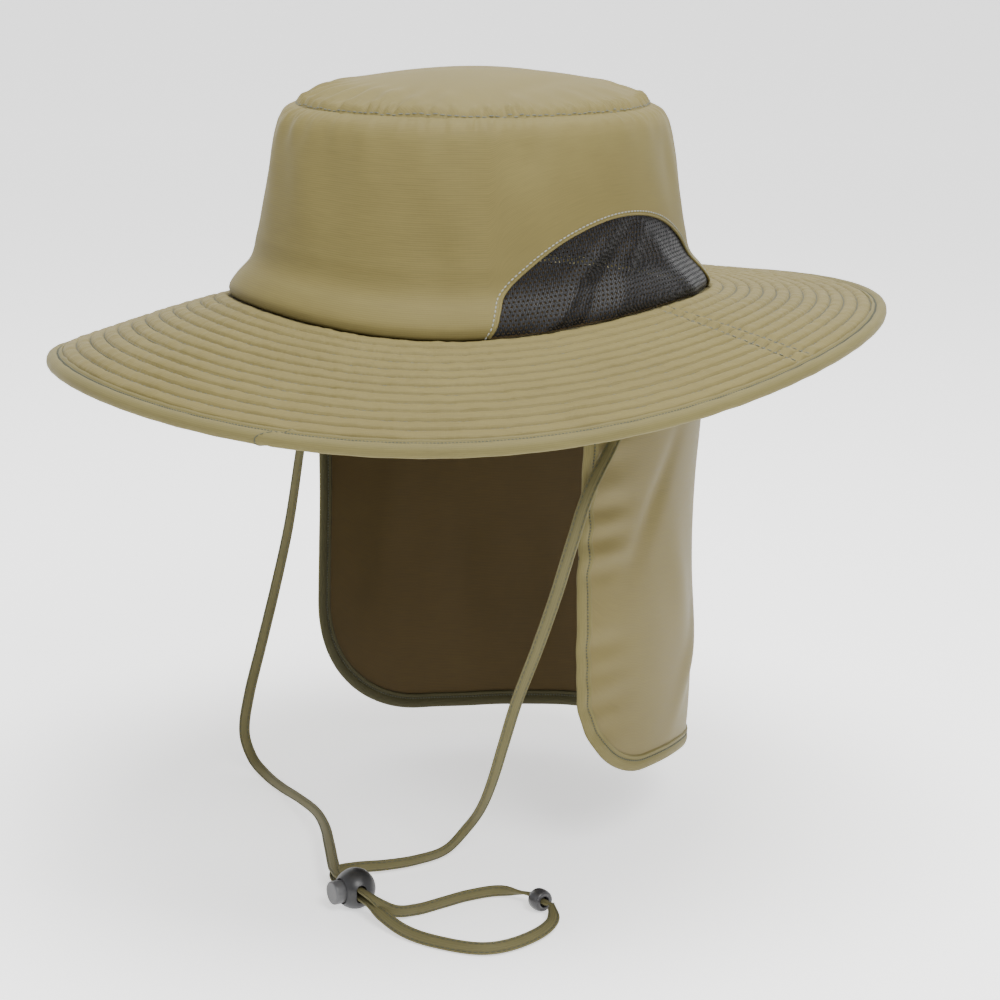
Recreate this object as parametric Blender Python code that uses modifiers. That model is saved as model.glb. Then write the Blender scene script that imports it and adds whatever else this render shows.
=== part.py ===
"""A wide-brimmed sun hat with a neck flap, mesh side vents and a chin cord.

Metres, +Z up. The origin is the middle of the head opening, level with the seam of crown and brim.
The wearer faces -Y, and +X is the wearer's left. Plan angles run from the front (0) over the
wearer's left (90) to the back (180).
"""

import math

import bmesh
import bpy
import numpy as np
from mathutils import Matrix, Vector

# Crown
HEAD_HALF_WIDTH = 0.0914
HEAD_HALF_LENGTH = 0.1050
CROWN_HEIGHT = 0.0777
TIP_RISE = 0.0165
CROWN_WALL = 0.0015

# Side vents, each an arch of net that stands on the brim seam
VENT_HALF_LENGTH = 0.0690
VENT_HEIGHT = 0.0400
VENT_CENTRE_Y = 0.0030
VENT_WALL = 0.0012
VENT_POINTEDNESS = 0.7
VENT_PANEL_HALF_DEG = 61
VENT_CUT_START = 0.4

# Brim and the binding round its edge
BRIM_WIDTH = 0.0723
BRIM_CLOTH = 0.0024
RIB_RISE = 0.0008
RIB_COUNT = 12
BRIM_CURL = 1.15
SEAM_LAP = 0.0030
BINDING_WALL = 0.0010
BRIM_BINDING_WIDTH = 0.0065

# Neck flap and the binding on its front edges and hem
FLAP_LENGTH = 0.2085
FLAP_CORNER = 0.0420
FLAP_WALL = 0.0010
FLAP_BINDING_WIDTH = 0.0070
TAPE_ROUNDING = 0.45
FLAP_FRONT_LEFT_DEG = 73.5
FLAP_FRONT_RIGHT_DEG = 271.5

# Chin cord, its lock and its bead
CORD_DIAMETER = 0.0030
LOCK_BALL_RADIUS = 0.0080
BUTTON_RADIUS = 0.0046
BUTTON_OUT = 0.0040
BUTTON_TRAVEL = 0.0020
BUTTON_WEB = 0.0018
BUTTON_EDGE = 0.0005
CHANNEL_SHIFT = 0.0012
BEAD_RADIUS = 0.0044
BEAD_LENGTH = 0.0060
BEAD_EDGE = 0.0012

# Clearance between pieces that meet
GAP = 0.0003

# Steps of the faceted surfaces
RING_STEPS = 52
FLAP_MIDDLE_STEPS = 16
FLAP_CORNER_STEPS = 5
FLAP_ROWS = 8
ARCH_STEPS = 24
ROUND_STEPS = 20
MOST_CORD_POINTS = 80
LEAST_CORD_STEP = 2.2
FLAP_SAMPLES = 400
SHARP_DEG = 40

MILLIMETRE = 0.001

# How far the crown seam and the brim's edge hang below the head plane, every 45 degrees from the front
# seam: share of CROWN_HEIGHT, edge: share of BRIM_WIDTH
BRIM_FALL = (
    dict(angle=0, seam=-0.018, edge=0.365),
    dict(angle=45, seam=0.042, edge=0.425),
    dict(angle=90, seam=-0.035, edge=0.200),
    dict(angle=135, seam=-0.030, edge=0.020),
    dict(angle=180, seam=-0.013, edge=0.105),
    dict(angle=225, seam=-0.008, edge=0.285),
    dict(angle=270, seam=0.072, edge=0.490),
    dict(angle=315, seam=-0.003, edge=0.320),
)

# The crown's side from the brim seam to the tip seam
# height: share of CROWN_HEIGHT, size: share of the head oval
CROWN_SECTIONS = (
    dict(height=0.00, size=0.992),
    dict(height=0.04, size=0.998),
    dict(height=0.11, size=0.962),
    dict(height=0.18, size=0.928),
    dict(height=0.32, size=0.901),
    dict(height=0.52, size=0.872),
    dict(height=0.76, size=0.848),
    dict(height=0.90, size=0.822),
    dict(height=1.00, size=0.790),
)

# Soft dents in the crown's side
# height: share of CROWN_HEIGHT, reach: half-height, same share, depth: share of CROWN_WALL
CROWN_DENTS = (
    dict(angle=-42, half_angle=9, height=0.55, reach=0.45, depth=1.2),
    dict(angle=8, half_angle=12, height=0.70, reach=0.30, depth=0.9),
    dict(angle=38, half_angle=8, height=0.35, reach=0.30, depth=0.9),
    dict(angle=62, half_angle=7, height=0.85, reach=0.20, depth=1.0),
    dict(angle=118, half_angle=8, height=0.75, reach=0.25, depth=1.0),
    dict(angle=185, half_angle=14, height=0.55, reach=0.35, depth=1.1),
    dict(angle=238, half_angle=10, height=0.60, reach=0.35, depth=1.0),
)

# The sections of the brim's plain underside, from its edge to the seam: share of its cloth
BRIM_UNDER_SECTIONS = (1.0, 0.65, 0.33, 0.08)

# The tip's dome, from its seam to near its middle: size: share of the seam's oval
TIP_SECTIONS = (1.0, 0.92, 0.72, 0.36)
TIP_ROUNDNESS = 0.7

# The flap's hem: depth: share of FLAP_LENGTH below the head plane
FLAP_HEM = (
    dict(angle=70, depth=0.890),
    dict(angle=114, depth=0.910),
    dict(angle=140, depth=0.945),
    dict(angle=180, depth=0.980),
    dict(angle=225, depth=1.000),
    dict(angle=275, depth=0.985),
)

# How far the flap hangs inside the head oval: depth: share of FLAP_LENGTH, inset: of HEAD_HALF_WIDTH
FLAP_HANG = (
    dict(depth=0.00, inset=0.016),
    dict(depth=0.25, inset=0.022),
    dict(depth=0.36, inset=0.038),
    dict(depth=0.47, inset=0.044),
    dict(depth=0.60, inset=0.038),
    dict(depth=0.74, inset=0.032),
    dict(depth=0.86, inset=0.037),
    dict(depth=1.00, inset=0.062),
)

# Folds in the flap: depth and reach: share of FLAP_LENGTH, rise: the same share, outwards,
# lean: degrees that the fold turns from its top to its foot
FLAP_FOLDS = (
    dict(angle=98, half_angle=5, depth=0.36, reach=0.16, lean=-10, rise=-0.009),
    dict(angle=112, half_angle=9, depth=0.55, reach=0.20, lean=8, rise=0.007),
    dict(angle=122, half_angle=7, depth=0.72, reach=0.13, lean=-12, rise=0.009),
    dict(angle=152, half_angle=9, depth=0.75, reach=0.40, lean=0, rise=0.010),
    dict(angle=176, half_angle=9, depth=0.80, reach=0.40, lean=4, rise=-0.010),
    dict(angle=201, half_angle=10, depth=0.75, reach=0.40, lean=-4, rise=0.010),
    dict(angle=228, half_angle=10, depth=0.80, reach=0.40, lean=0, rise=-0.008),
    dict(angle=250, half_angle=8, depth=0.60, reach=0.30, lean=6, rise=0.007),
)

# The chin cord's route, in millimetres: x to the wearer's left, y to the back, z up
CORD_ATTACH_DEG = 90
CORD_ATTACH_OUT = 0.0030
LOCK_PLACE = (41.2, -107.7, -217.0)
LOCK_TURN_DEG = -15
BEAD_PLACE = (95.0, -60.2, -220.4)
BEAD_TURN_DEG = -12
RIGHT_STRAND = (
    (-94.2, -3.2, -34), (-94.4, -4.6, -62), (-96.4, -7.4, -88), (-98, -11.5, -114.5),
    (-101, -16.7, -141.5), (-104.4, -22.7, -169), (-107, -28, -192), (-106.6, -31.2, -208),
    (-101, -32, -218), (-88.5, -35.6, -221.8), (-70, -43, -221.4), (-50, -51.5, -219),
    (-29, -61.5, -216.8), (-11, -73.5, -215.6), (5, -86.5, -215.2),
)
FAR_LOOP = (
    (62.2, -108.8, -219.6), (64.6, -98, -222), (66.6, -85, -222.4), (69.2, -73.5, -222.2),
    (75.6, -62.6, -221.6),
)
NEAR_LOOP = (
    (110.4, -71, -221.8), (113, -88, -222.4), (108.6, -104.4, -222.4), (95, -112.4, -222.4),
    (76, -115.8, -221.8),
)
LEFT_STRAND = (
    (19.6, -96, -219.8), (20.4, -86.5, -220.6), (26.4, -75.5, -221), (31.4, -63, -221),
    (33.2, -48, -220.4), (34.6, -37.4, -214), (43, -38, -203), (53, -42.6, -188),
    (61.6, -46, -170), (68, -45.2, -149.5), (75, -41.6, -127), (81, -38.6, -106),
    (87, -36, -83), (90, -30.6, -64), (91.6, -17.6, -45), (93.4, -7.6, -28),
)

STRAIGHT_SHARES = (-1.6, -1.0, 0.0, 1.0, 1.6)

COLOURS = {
    "crown_tip": (0.48, 0.44, 0.25),
    "crown_side": (0.26, 0.22, 0.10),
    "mesh": (0.05, 0.05, 0.052),
    "brim": (0.40, 0.36, 0.18),
    "binding": (0.37, 0.34, 0.17),
    "flap": (0.30, 0.26, 0.12),
    "cord": (0.16, 0.14, 0.06),
    "plastic": (0.045, 0.044, 0.046),
}


def clear_scene():
    for obj in list(bpy.data.objects):
        bpy.data.objects.remove(obj, do_unlink=True)


def new_collection(name, hidden=False):
    collection = bpy.data.collections.new(name)
    bpy.context.scene.collection.children.link(collection)
    collection.hide_render = hidden
    return collection


def material(name, colour, roughness):
    made = bpy.data.materials.new(name)
    made.use_nodes = True
    shader = made.node_tree.nodes["Principled BSDF"]
    shader.inputs["Base Color"].default_value = (*colour, 1.0)
    shader.inputs["Roughness"].default_value = roughness
    shader.inputs["Metallic"].default_value = 0.0
    return made


def add_object(name, mesh, collection, finish=None):
    obj = bpy.data.objects.new(name, mesh)
    collection.objects.link(obj)
    if finish:
        mesh.materials.append(finish)
    return obj


def object_from(name, work, collection, finish=None, smooth=True):
    """Turns a bmesh into a named object whose faces point outwards."""
    bmesh.ops.recalc_face_normals(work, faces=work.faces[:])
    mesh = bpy.data.meshes.new(name)
    work.to_mesh(mesh)
    work.free()
    if smooth:
        mesh.shade_smooth()
        mesh.set_sharp_from_angle(angle=math.radians(SHARP_DEG))
    return add_object(name, mesh, collection, finish)


def loft(name, sections, closed, collection, finish):
    """A solid through closed sections of equally many points. It ends in two flat caps unless closed."""
    work = bmesh.new()
    rows = [[work.verts.new(point) for point in section] for section in sections]
    count = len(rows[0])
    pairs = zip(rows, rows[1:] + rows[:1]) if closed else zip(rows, rows[1:])
    for row, following in pairs:
        for i in range(count):
            j = (i + 1) % count
            work.faces.new((row[i], row[j], following[j], following[i]))
    if not closed:
        work.faces.new(rows[0])
        work.faces.new(rows[-1])
    return object_from(name, work, collection, finish)


def prism(name, outline, depth, collection):
    """A cutter: a flat outline pushed out along the vector depth."""
    work = bmesh.new()
    face = work.faces.new([work.verts.new(point) for point in outline])
    pushed = bmesh.ops.extrude_face_region(work, geom=[face])["geom"]
    verts = [part for part in pushed if isinstance(part, bmesh.types.BMVert)]
    bmesh.ops.translate(work, verts=verts, vec=depth)
    cutter = object_from(name, work, collection, smooth=False)
    cutter.display_type = "WIRE"
    cutter.hide_render = True
    return cutter


def cut(obj, cutter, operation="DIFFERENCE"):
    modifier = obj.modifiers.new(cutter.name, "BOOLEAN")
    modifier.object = cutter
    modifier.operation = operation
    modifier.solver = "EXACT"


def around(rows, column, angle):
    """The smooth value of a column of BRIM_FALL at a plan angle in radians."""
    terms = np.fft.rfft([row[column] for row in rows]) / len(rows)
    value = terms[0].real
    for k in range(1, len(terms)):
        weight = 1 if 2 * k == len(rows) else 2
        value += weight * (terms[k] * np.exp(1j * k * angle)).real
    return float(value)


def between(rows, key, column, at):
    """A column's value between rows, eased so that the slope has no corners."""
    keys = [row[key] for row in rows]
    values = [row[column] for row in rows]
    slopes = np.gradient(values, keys)
    at = min(max(at, keys[0]), keys[-1])
    i = min(int(np.searchsorted(keys, at, side="right")) - 1, len(keys) - 2)
    span = keys[i + 1] - keys[i]
    t = (at - keys[i]) / span
    start = (2 * t**3 - 3 * t**2 + 1) * values[i] + (t**3 - 2 * t**2 + t) * span * slopes[i]
    end = (3 * t**2 - 2 * t**3) * values[i + 1] + (t**3 - t**2) * span * slopes[i + 1]
    return float(start + end)


def bump(distance, half_width):
    return math.exp(-2 * (distance / half_width) ** 2)


def turn_between(angle, other):
    """Degrees from one plan angle to another, -180 to 180."""
    return (angle - other + 180) % 360 - 180


def oval(angle, size=1.0):
    """A point of the head oval, scaled, in the plane of the head opening."""
    return Vector((HEAD_HALF_WIDTH * size * math.sin(angle), -HEAD_HALF_LENGTH * size * math.cos(angle), 0))


def outward(angle):
    """The head oval's horizontal normal."""
    return Vector((math.sin(angle) / HEAD_HALF_WIDTH, -math.cos(angle) / HEAD_HALF_LENGTH, 0)).normalized()


def ring_angles():
    return [2 * math.pi * i / RING_STEPS for i in range(RING_STEPS)]


def seam_height(angle):
    return -CROWN_HEIGHT * around(BRIM_FALL, "seam", angle)


def crown_point(angle, height, inside=0.0):
    """A point of the crown's side at a share of its height, a distance inside its outer face."""
    dent = 0.0
    for row in CROWN_DENTS:
        turn = turn_between(math.degrees(angle), row["angle"])
        dent += row["depth"] * bump(turn, row["half_angle"]) * bump(height - row["height"], row["reach"])
    point = oval(angle, between(CROWN_SECTIONS, "height", "size", height))
    point -= outward(angle) * (inside + dent * CROWN_WALL)
    point.z = CROWN_HEIGHT * height + seam_height(angle) * (1 - height)
    return point


def crown_shell(name, wall, angles, closed, collection, finish):
    heights = [row["height"] for row in CROWN_SECTIONS]
    sections = []
    for angle in angles:
        outer = [crown_point(angle, height) for height in heights]
        inner = [crown_point(angle, height, wall) for height in reversed(heights)]
        sections.append(outer + inner)
    return loft(name, sections, closed, collection, finish)


def vent_cutter(name, side, clearance, collection):
    """An arch across the crown's side, cut or filled along X; side is 1 on the wearer's left."""
    half = VENT_HALF_LENGTH - clearance
    foot = seam_height(side * math.pi / 2) - VENT_HEIGHT
    lowest_seam = min(seam_height(angle) for angle in ring_angles())
    outline = [(0, VENT_CENTRE_Y + half, foot), (0, VENT_CENTRE_Y - half, foot)]
    for i in range(ARCH_STEPS + 1):
        across = -math.cos(math.pi * i / ARCH_STEPS)
        rise = max(1 - across**2, 0.0) ** VENT_POINTEDNESS * (VENT_HEIGHT - clearance)
        outline.append((0, VENT_CENTRE_Y + half * across, lowest_seam / 2 + rise))
    start = side * HEAD_HALF_WIDTH * VENT_CUT_START
    outline = [(start, y, z) for _, y, z in outline]
    return prism(name, outline, Vector((side * HEAD_HALF_WIDTH, 0, 0)), collection)


def make_crown(parts, cutters):
    cloth = material("crown_cloth", COLOURS["crown_side"], 0.62)
    net = material("vent_net", COLOURS["mesh"], 0.55)
    side = crown_shell("crown_side", CROWN_WALL, ring_angles(), True, parts, cloth)
    for name, turn in (("left", 1), ("right", -1)):
        cut(side, vent_cutter("vent_opening_" + name, turn, 0.0, cutters))
        angles = []
        for angle in ring_angles():
            if abs(turn_between(math.degrees(angle), turn * 90)) < VENT_PANEL_HALF_DEG:
                angles.append(angle)
        panel = crown_shell("mesh_panel_" + name, VENT_WALL, angles, False, parts, net)
        cut(panel, vent_cutter("vent_panel_" + name, turn, GAP, cutters), "INTERSECT")


def make_tip(parts):
    seam_size = CROWN_SECTIONS[-1]["size"]

    def ring(share, drop):
        rise = TIP_RISE * (1 - share**2) ** TIP_ROUNDNESS
        lift = Vector((0, 0, CROWN_HEIGHT + GAP + CROWN_WALL + rise - drop))
        return [oval(angle, seam_size * share) + lift for angle in ring_angles()]

    rings = [ring(share, 0) for share in reversed(TIP_SECTIONS)]
    rings += [ring(share, CROWN_WALL) for share in TIP_SECTIONS]
    loft("crown_tip", rings, False, parts, material("tip_cloth", COLOURS["crown_tip"], 0.6))


def brim_place(angle, out, up=0.0):
    """A point over the brim's upper face: out from the head oval, up from the face."""
    share = (out + SEAM_LAP) / (BRIM_WIDTH + SEAM_LAP)
    seam = seam_height(angle) - GAP
    edge = -BRIM_WIDTH * around(BRIM_FALL, "edge", angle)
    point = oval(angle) + outward(angle) * out
    point.z = seam + (edge - seam) * max(share, 0.0) ** BRIM_CURL + up
    return point


def make_brim(parts):
    cloth_end = BRIM_WIDTH - BINDING_WALL - GAP
    ribs_end = BRIM_WIDTH - BRIM_BINDING_WIDTH - GAP
    pitch = ribs_end / RIB_COUNT
    top = [(-SEAM_LAP, 0.0)]
    for i in range(RIB_COUNT):
        top += [(i * pitch, 0.0), ((i + 0.5) * pitch, RIB_RISE)]
    top += [(ribs_end, 0.0), (cloth_end, 0.0)]
    under = [(cloth_end * share, -BRIM_CLOTH) for share in BRIM_UNDER_SECTIONS]
    under += [(-SEAM_LAP, -BRIM_CLOTH)]
    sections = [[brim_place(angle, out, up) for out, up in top + under] for angle in ring_angles()]
    loft("brim", sections, True, parts, material("brim_cloth", COLOURS["brim"], 0.7))


def binding_outline(cloth, wall, width):
    """A folded tape's section: out from the cloth's edge, up from the cloth's upper face."""
    outer = GAP + wall
    lip = outer - width
    middle = -cloth / 2
    half = cloth / 2 + GAP + wall
    nose = TAPE_ROUNDING * half
    return (
        (lip, GAP), (GAP, GAP), (GAP, -cloth - GAP), (lip, -cloth - GAP), (lip, middle - half),
        (outer - nose, middle - half), (outer, middle - nose), (outer, middle + nose),
        (outer - nose, middle + half), (lip, middle + half),
    )


def make_brim_binding(parts):
    cloth_end = BRIM_WIDTH - BINDING_WALL - GAP
    outline = binding_outline(BRIM_CLOTH, BINDING_WALL, BRIM_BINDING_WIDTH)
    sections = []
    for angle in ring_angles():
        edge = brim_place(angle, cloth_end)
        inside = brim_place(angle, BRIM_WIDTH - BRIM_BINDING_WIDTH)
        along = (edge - inside) / (edge - inside).to_2d().length
        sections.append([edge + along * out + Vector((0, 0, up)) for out, up in outline])
    loft("brim_binding", sections, True, parts, material("binding_cloth", COLOURS["binding"], 0.6))


class FlapSurface:
    """The flap's middle surface. Along is the distance round the head oval from the left front edge."""

    MARGIN = 0.1

    def __init__(self):
        first = math.radians(FLAP_FRONT_LEFT_DEG)
        last = math.radians(FLAP_FRONT_RIGHT_DEG)
        self.angles = np.linspace(first - self.MARGIN, last + self.MARGIN, FLAP_SAMPLES)
        steps = np.hypot(HEAD_HALF_WIDTH * np.cos(self.angles), HEAD_HALF_LENGTH * np.sin(self.angles))
        mean = (steps[1:] + steps[:-1]) / 2
        self.lengths = np.concatenate([[0], np.cumsum(mean * np.diff(self.angles))])
        self.lengths -= np.interp(first, self.angles, self.lengths)
        self.span = float(np.interp(last, self.angles, self.lengths))

    def angle(self, along):
        return float(np.interp(along, self.lengths, self.angles))

    def top(self, along):
        """The top edge's height, which clears the brim's underside by its binding's full thickness."""
        inset = between(FLAP_HANG, "depth", "inset", 0) * HEAD_HALF_WIDTH
        half = FLAP_WALL / 2 + GAP + BINDING_WALL
        return brim_place(self.angle(along), half - inset).z - BRIM_CLOTH - GAP

    def hem(self, along, inset=0.0):
        """The hem's height, with a round corner at each front edge."""
        degrees = math.degrees(self.angle(along))
        low = -FLAP_LENGTH * between(FLAP_HEM, "angle", "depth", degrees) + inset
        from_edge = min(along, self.span - along) - inset
        radius = FLAP_CORNER - inset
        if from_edge >= radius:
            return low
        return low + radius - math.sqrt(max(radius**2 - (radius - from_edge) ** 2, 0.0))

    def point(self, along, height):
        angle = self.angle(along)
        depth = min(max(-height / FLAP_LENGTH, 0.0), 1.0)
        out = -HEAD_HALF_WIDTH * between(FLAP_HANG, "depth", "inset", depth)
        for row in FLAP_FOLDS:
            middle = row["angle"] + row["lean"] * (depth - row["depth"]) / row["reach"]
            turn = turn_between(math.degrees(angle), middle)
            shape = bump(turn, row["half_angle"]) * bump(depth - row["depth"], row["reach"])
            out += row["rise"] * FLAP_LENGTH * shape
        point = oval(angle) + outward(angle) * out
        point.z = height
        return point

    def normal(self, along, height, step=0.0005):
        across = self.point(along + step, height) - self.point(along - step, height)
        upward = self.point(along, height + step) - self.point(along, height - step)
        return across.cross(upward).normalized()


def flap_grid(surface, inset):
    """Columns of (along, height) from the top to the hem, close together in the round corners."""
    radius = FLAP_CORNER - inset
    turns = [math.pi / 2 * i / FLAP_CORNER_STEPS for i in range(FLAP_CORNER_STEPS)]
    corner = [inset + radius * (1 - math.cos(turn)) for turn in turns]
    start, end = FLAP_CORNER, surface.span - FLAP_CORNER
    middle = [start + (end - start) * i / FLAP_MIDDLE_STEPS for i in range(FLAP_MIDDLE_STEPS + 1)]
    columns = []
    for along in corner + middle + [surface.span - place for place in reversed(corner)]:
        top, hem = surface.top(along), surface.hem(along, inset)
        columns.append([(along, top + (hem - top) * j / FLAP_ROWS) for j in range(FLAP_ROWS + 1)])
    return columns


def make_flap(parts):
    surface = FlapSurface()
    columns = flap_grid(surface, GAP + BINDING_WALL)
    work = bmesh.new()
    rows = [[work.verts.new(surface.point(*place)) for place in column] for column in columns]
    for column, following in zip(rows, rows[1:]):
        for j in range(FLAP_ROWS):
            work.faces.new((column[j], following[j], following[j + 1], column[j + 1]))
    sheet = object_from("neck_flap", work, parts, material("flap_cloth", COLOURS["flap"], 0.65))
    thicken = sheet.modifiers.new("wall", "SOLIDIFY")
    thicken.thickness = FLAP_WALL
    thicken.offset = 0
    make_flap_binding(surface, columns, parts)


def make_flap_binding(surface, columns, parts):
    border = columns[0][:-1] + [column[-1] for column in columns] + columns[-1][-2::-1]
    outline = binding_outline(FLAP_WALL, BINDING_WALL, FLAP_BINDING_WIDTH)
    sections = []
    for i, (along, height) in enumerate(border):
        before = border[max(i - 1, 0)]
        after = border[min(i + 1, len(border) - 1)]
        run = Vector((after[0] - before[0], after[1] - before[1])).normalized()
        section = []
        for out, up in outline:
            place = (along + run.y * out, height - run.x * out)
            section.append(surface.point(*place) + surface.normal(*place) * (up + FLAP_WALL / 2))
        sections.append(section)
    finish = material("flap_binding_cloth", COLOURS["binding"], 0.6)
    loft("flap_binding", sections, False, parts, finish)


def turned_axis(degrees):
    """The horizontal direction +X turned by an angle about Z."""
    return Vector((math.cos(math.radians(degrees)), math.sin(math.radians(degrees)), 0))


def straight_run(place, direction, reach, rise):
    """Points of the cord's straight stretch through the lock or the bead."""
    middle = Vector(place) * MILLIMETRE + Vector((0, 0, rise))
    return [middle + direction * share * reach for share in STRAIGHT_SHARES]


def cord_route():
    """The cord's route from the wearer's right to the left, through the lock, round the loop and back."""
    def metres(points):
        return [Vector(point) * MILLIMETRE for point in points]

    lock_line = turned_axis(LOCK_TURN_DEG)
    bead_line = turned_axis(BEAD_TURN_DEG)
    lock_middle = lock_axis_point()
    rise = (CORD_DIAMETER + GAP) / 2
    lock = [straight_run(lock_middle, lock_line, LOCK_BALL_RADIUS, up) for up in (rise, -rise)]
    bead = straight_run(BEAD_PLACE, bead_line, BEAD_LENGTH / 2 + CORD_DIAMETER / 2, 0)
    route = [cord_end(-1)] + metres(RIGHT_STRAND) + lock[0] + metres(FAR_LOOP) + bead
    route += metres(NEAR_LOOP) + lock[1][::-1] + metres(LEFT_STRAND) + [cord_end(1)]
    return route


def lock_axis_point():
    """The middle of the lock's cord channel, in millimetres."""
    shift = Matrix.Rotation(math.radians(LOCK_TURN_DEG), 3, "Z") @ Vector((0, -CHANNEL_SHIFT, 0))
    return Vector(LOCK_PLACE) + shift / MILLIMETRE


def cord_end(side):
    """Where the cord meets the brim's underside, beside the flap."""
    angle = side * math.radians(CORD_ATTACH_DEG)
    radius = CORD_DIAMETER / 2
    corners = [brim_place(angle, CORD_ATTACH_OUT + step).z for step in (-radius, radius)]
    point = oval(angle) + outward(angle) * CORD_ATTACH_OUT
    point.z = min(corners) - BRIM_CLOTH - 2 * GAP
    return point


def smooth_points(route):
    """Points along a smooth curve through the route, which stay on the route's own points."""
    lengths = [(b - a).length for a, b in zip(route, route[1:])]
    spacing = max(LEAST_CORD_STEP * CORD_DIAMETER, sum(lengths) / (MOST_CORD_POINTS - len(route) / 2))
    padded = [2 * route[0] - route[1]] + route + [2 * route[-1] - route[-2]]
    points = [route[0]]
    for i, length in enumerate(lengths):
        before, start, end, after = padded[i:i + 4]
        leave = (end - before) * length / max((end - before).length, length)
        arrive = (after - start) * length / max((after - start).length, length)
        count = max(1, round(length / spacing))
        for k in range(1, count + 1):
            t = k / count
            point = start * (2 * t**3 - 3 * t**2 + 1) + leave * (t**3 - 2 * t**2 + t)
            points.append(point + end * (3 * t**2 - 2 * t**3) + arrive * (t**3 - t**2))
    return points


def make_cord(parts):
    curve = bpy.data.curves.new("chin_cord", "CURVE")
    curve.dimensions = "3D"
    curve.bevel_depth = CORD_DIAMETER / 2
    curve.bevel_resolution = 2
    curve.use_fill_caps = True
    points = smooth_points(cord_route())
    spline = curve.splines.new("POLY")
    spline.points.add(len(points) - 1)
    for knot, point in zip(spline.points, points):
        knot.co = (*point, 1)
    add_object("chin_cord", curve, parts, material("cord_cloth", COLOURS["cord"], 0.6))


def channel_outline(near, far, half_height):
    """A slot across the lock, seen along the cord, with corners as round as the cord's channel."""
    radius = CORD_DIAMETER / 2 + GAP
    start = -2 * LOCK_BALL_RADIUS
    steps = ROUND_STEPS // 4
    points = []
    for sign in (1, -1):
        for i in range(steps + 1):
            turn = math.pi * i / steps
            middle = far - radius if sign * math.cos(turn) > 0 else near + radius
            height = sign * (half_height - radius + radius * math.sin(turn))
            points.append((start, middle + sign * radius * math.cos(turn), height))
    return points


def hang_in(frame, *objects):
    for obj in objects:
        obj.parent = frame


def make_lock(parts, cutters):
    plastic = material("lock_plastic", COLOURS["plastic"], 0.35)
    button_plastic = material("button_plastic", COLOURS["plastic"], 0.4)
    frame = bpy.data.objects.new("lock_frame", None)
    parts.objects.link(frame)
    frame.location = Vector(LOCK_PLACE) * MILLIMETRE
    frame.rotation_euler = (0, 0, math.radians(LOCK_TURN_DEG))

    channel_half = CORD_DIAMETER / 2 + GAP
    channel_near = -CHANNEL_SHIFT - channel_half
    channel_far = -CHANNEL_SHIFT + channel_half
    channel_height = CORD_DIAMETER + GAP / 2 + GAP
    through = Vector((4 * LOCK_BALL_RADIUS, 0, 0))
    bore_radius = BUTTON_RADIUS + GAP
    button_end = channel_far + BUTTON_WEB
    bore_end = button_end + BUTTON_TRAVEL + GAP
    button_front = -math.sqrt(LOCK_BALL_RADIUS**2 - bore_radius**2) - BUTTON_OUT
    outline = channel_outline(channel_near, channel_far, channel_height)

    work = bmesh.new()
    bmesh.ops.create_uvsphere(
        work, u_segments=ROUND_STEPS, v_segments=ROUND_STEPS // 2 + 2, radius=LOCK_BALL_RADIUS
    )
    ball = object_from("cord_lock_ball", work, parts, plastic)
    channel = prism("lock_channel", outline, through, cutters)
    bore = cylinder_along_y("lock_bore", bore_radius, -2 * LOCK_BALL_RADIUS, bore_end, cutters)
    bore.display_type = "WIRE"
    bore.hide_render = True
    cut(ball, channel)
    cut(ball, bore)

    button = cylinder_along_y("cord_lock_button", BUTTON_RADIUS, button_front, button_end, parts, button_plastic)
    edge = button.modifiers.new("edge", "BEVEL")
    edge.width = BUTTON_EDGE
    edge.segments = 2
    slot_outline = channel_outline(channel_near - BUTTON_TRAVEL, channel_far, channel_height)
    slot = prism("button_slot", slot_outline, through, cutters)
    cut(button, slot)
    hang_in(frame, ball, channel, bore, button, slot)


def cylinder_along_y(name, radius, start, end, collection, finish=None):
    work = bmesh.new()
    turn = Matrix.Translation((0, (start + end) / 2, 0)) @ Matrix.Rotation(math.pi / 2, 4, "X")
    bmesh.ops.create_cone(
        work, cap_ends=True, segments=ROUND_STEPS, radius1=radius, radius2=radius, depth=end - start, matrix=turn
    )
    return object_from(name, work, collection, finish)


def make_bead(parts):
    """A barrel bead, turned about its own X axis."""
    hole = CORD_DIAMETER / 2 + GAP
    half = BEAD_LENGTH / 2
    profile = (
        (hole, half), (BEAD_RADIUS - BEAD_EDGE, half), (BEAD_RADIUS, half - BEAD_EDGE),
        (BEAD_RADIUS, BEAD_EDGE - half), (BEAD_RADIUS - BEAD_EDGE, -half), (hole, -half),
    )
    work = bmesh.new()
    verts = [work.verts.new((radius, 0, along)) for radius, along in profile]
    for start, end in zip(verts, verts[1:] + verts[:1]):
        work.edges.new((start, end))
    mesh = bpy.data.meshes.new("cord_bead")
    work.to_mesh(mesh)
    work.free()
    bead = add_object("cord_bead", mesh, parts, material("bead_plastic", COLOURS["plastic"], 0.25))
    turned = bead.modifiers.new("turned", "SCREW")
    turned.steps = ROUND_STEPS
    turned.render_steps = ROUND_STEPS
    turned.use_merge_vertices = True
    turned.merge_threshold = 0.00001
    bead.location = Vector(BEAD_PLACE) * MILLIMETRE
    bead.rotation_euler = (0, math.pi / 2, math.radians(BEAD_TURN_DEG))


def main():
    clear_scene()
    parts = new_collection("outdoor_hat")
    cutters = new_collection("cutters", hidden=True)
    make_crown(parts, cutters)
    make_tip(parts)
    make_brim(parts)
    make_brim_binding(parts)
    make_flap(parts)
    make_cord(parts)
    make_lock(parts, cutters)
    make_bead(parts)


main()
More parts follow.
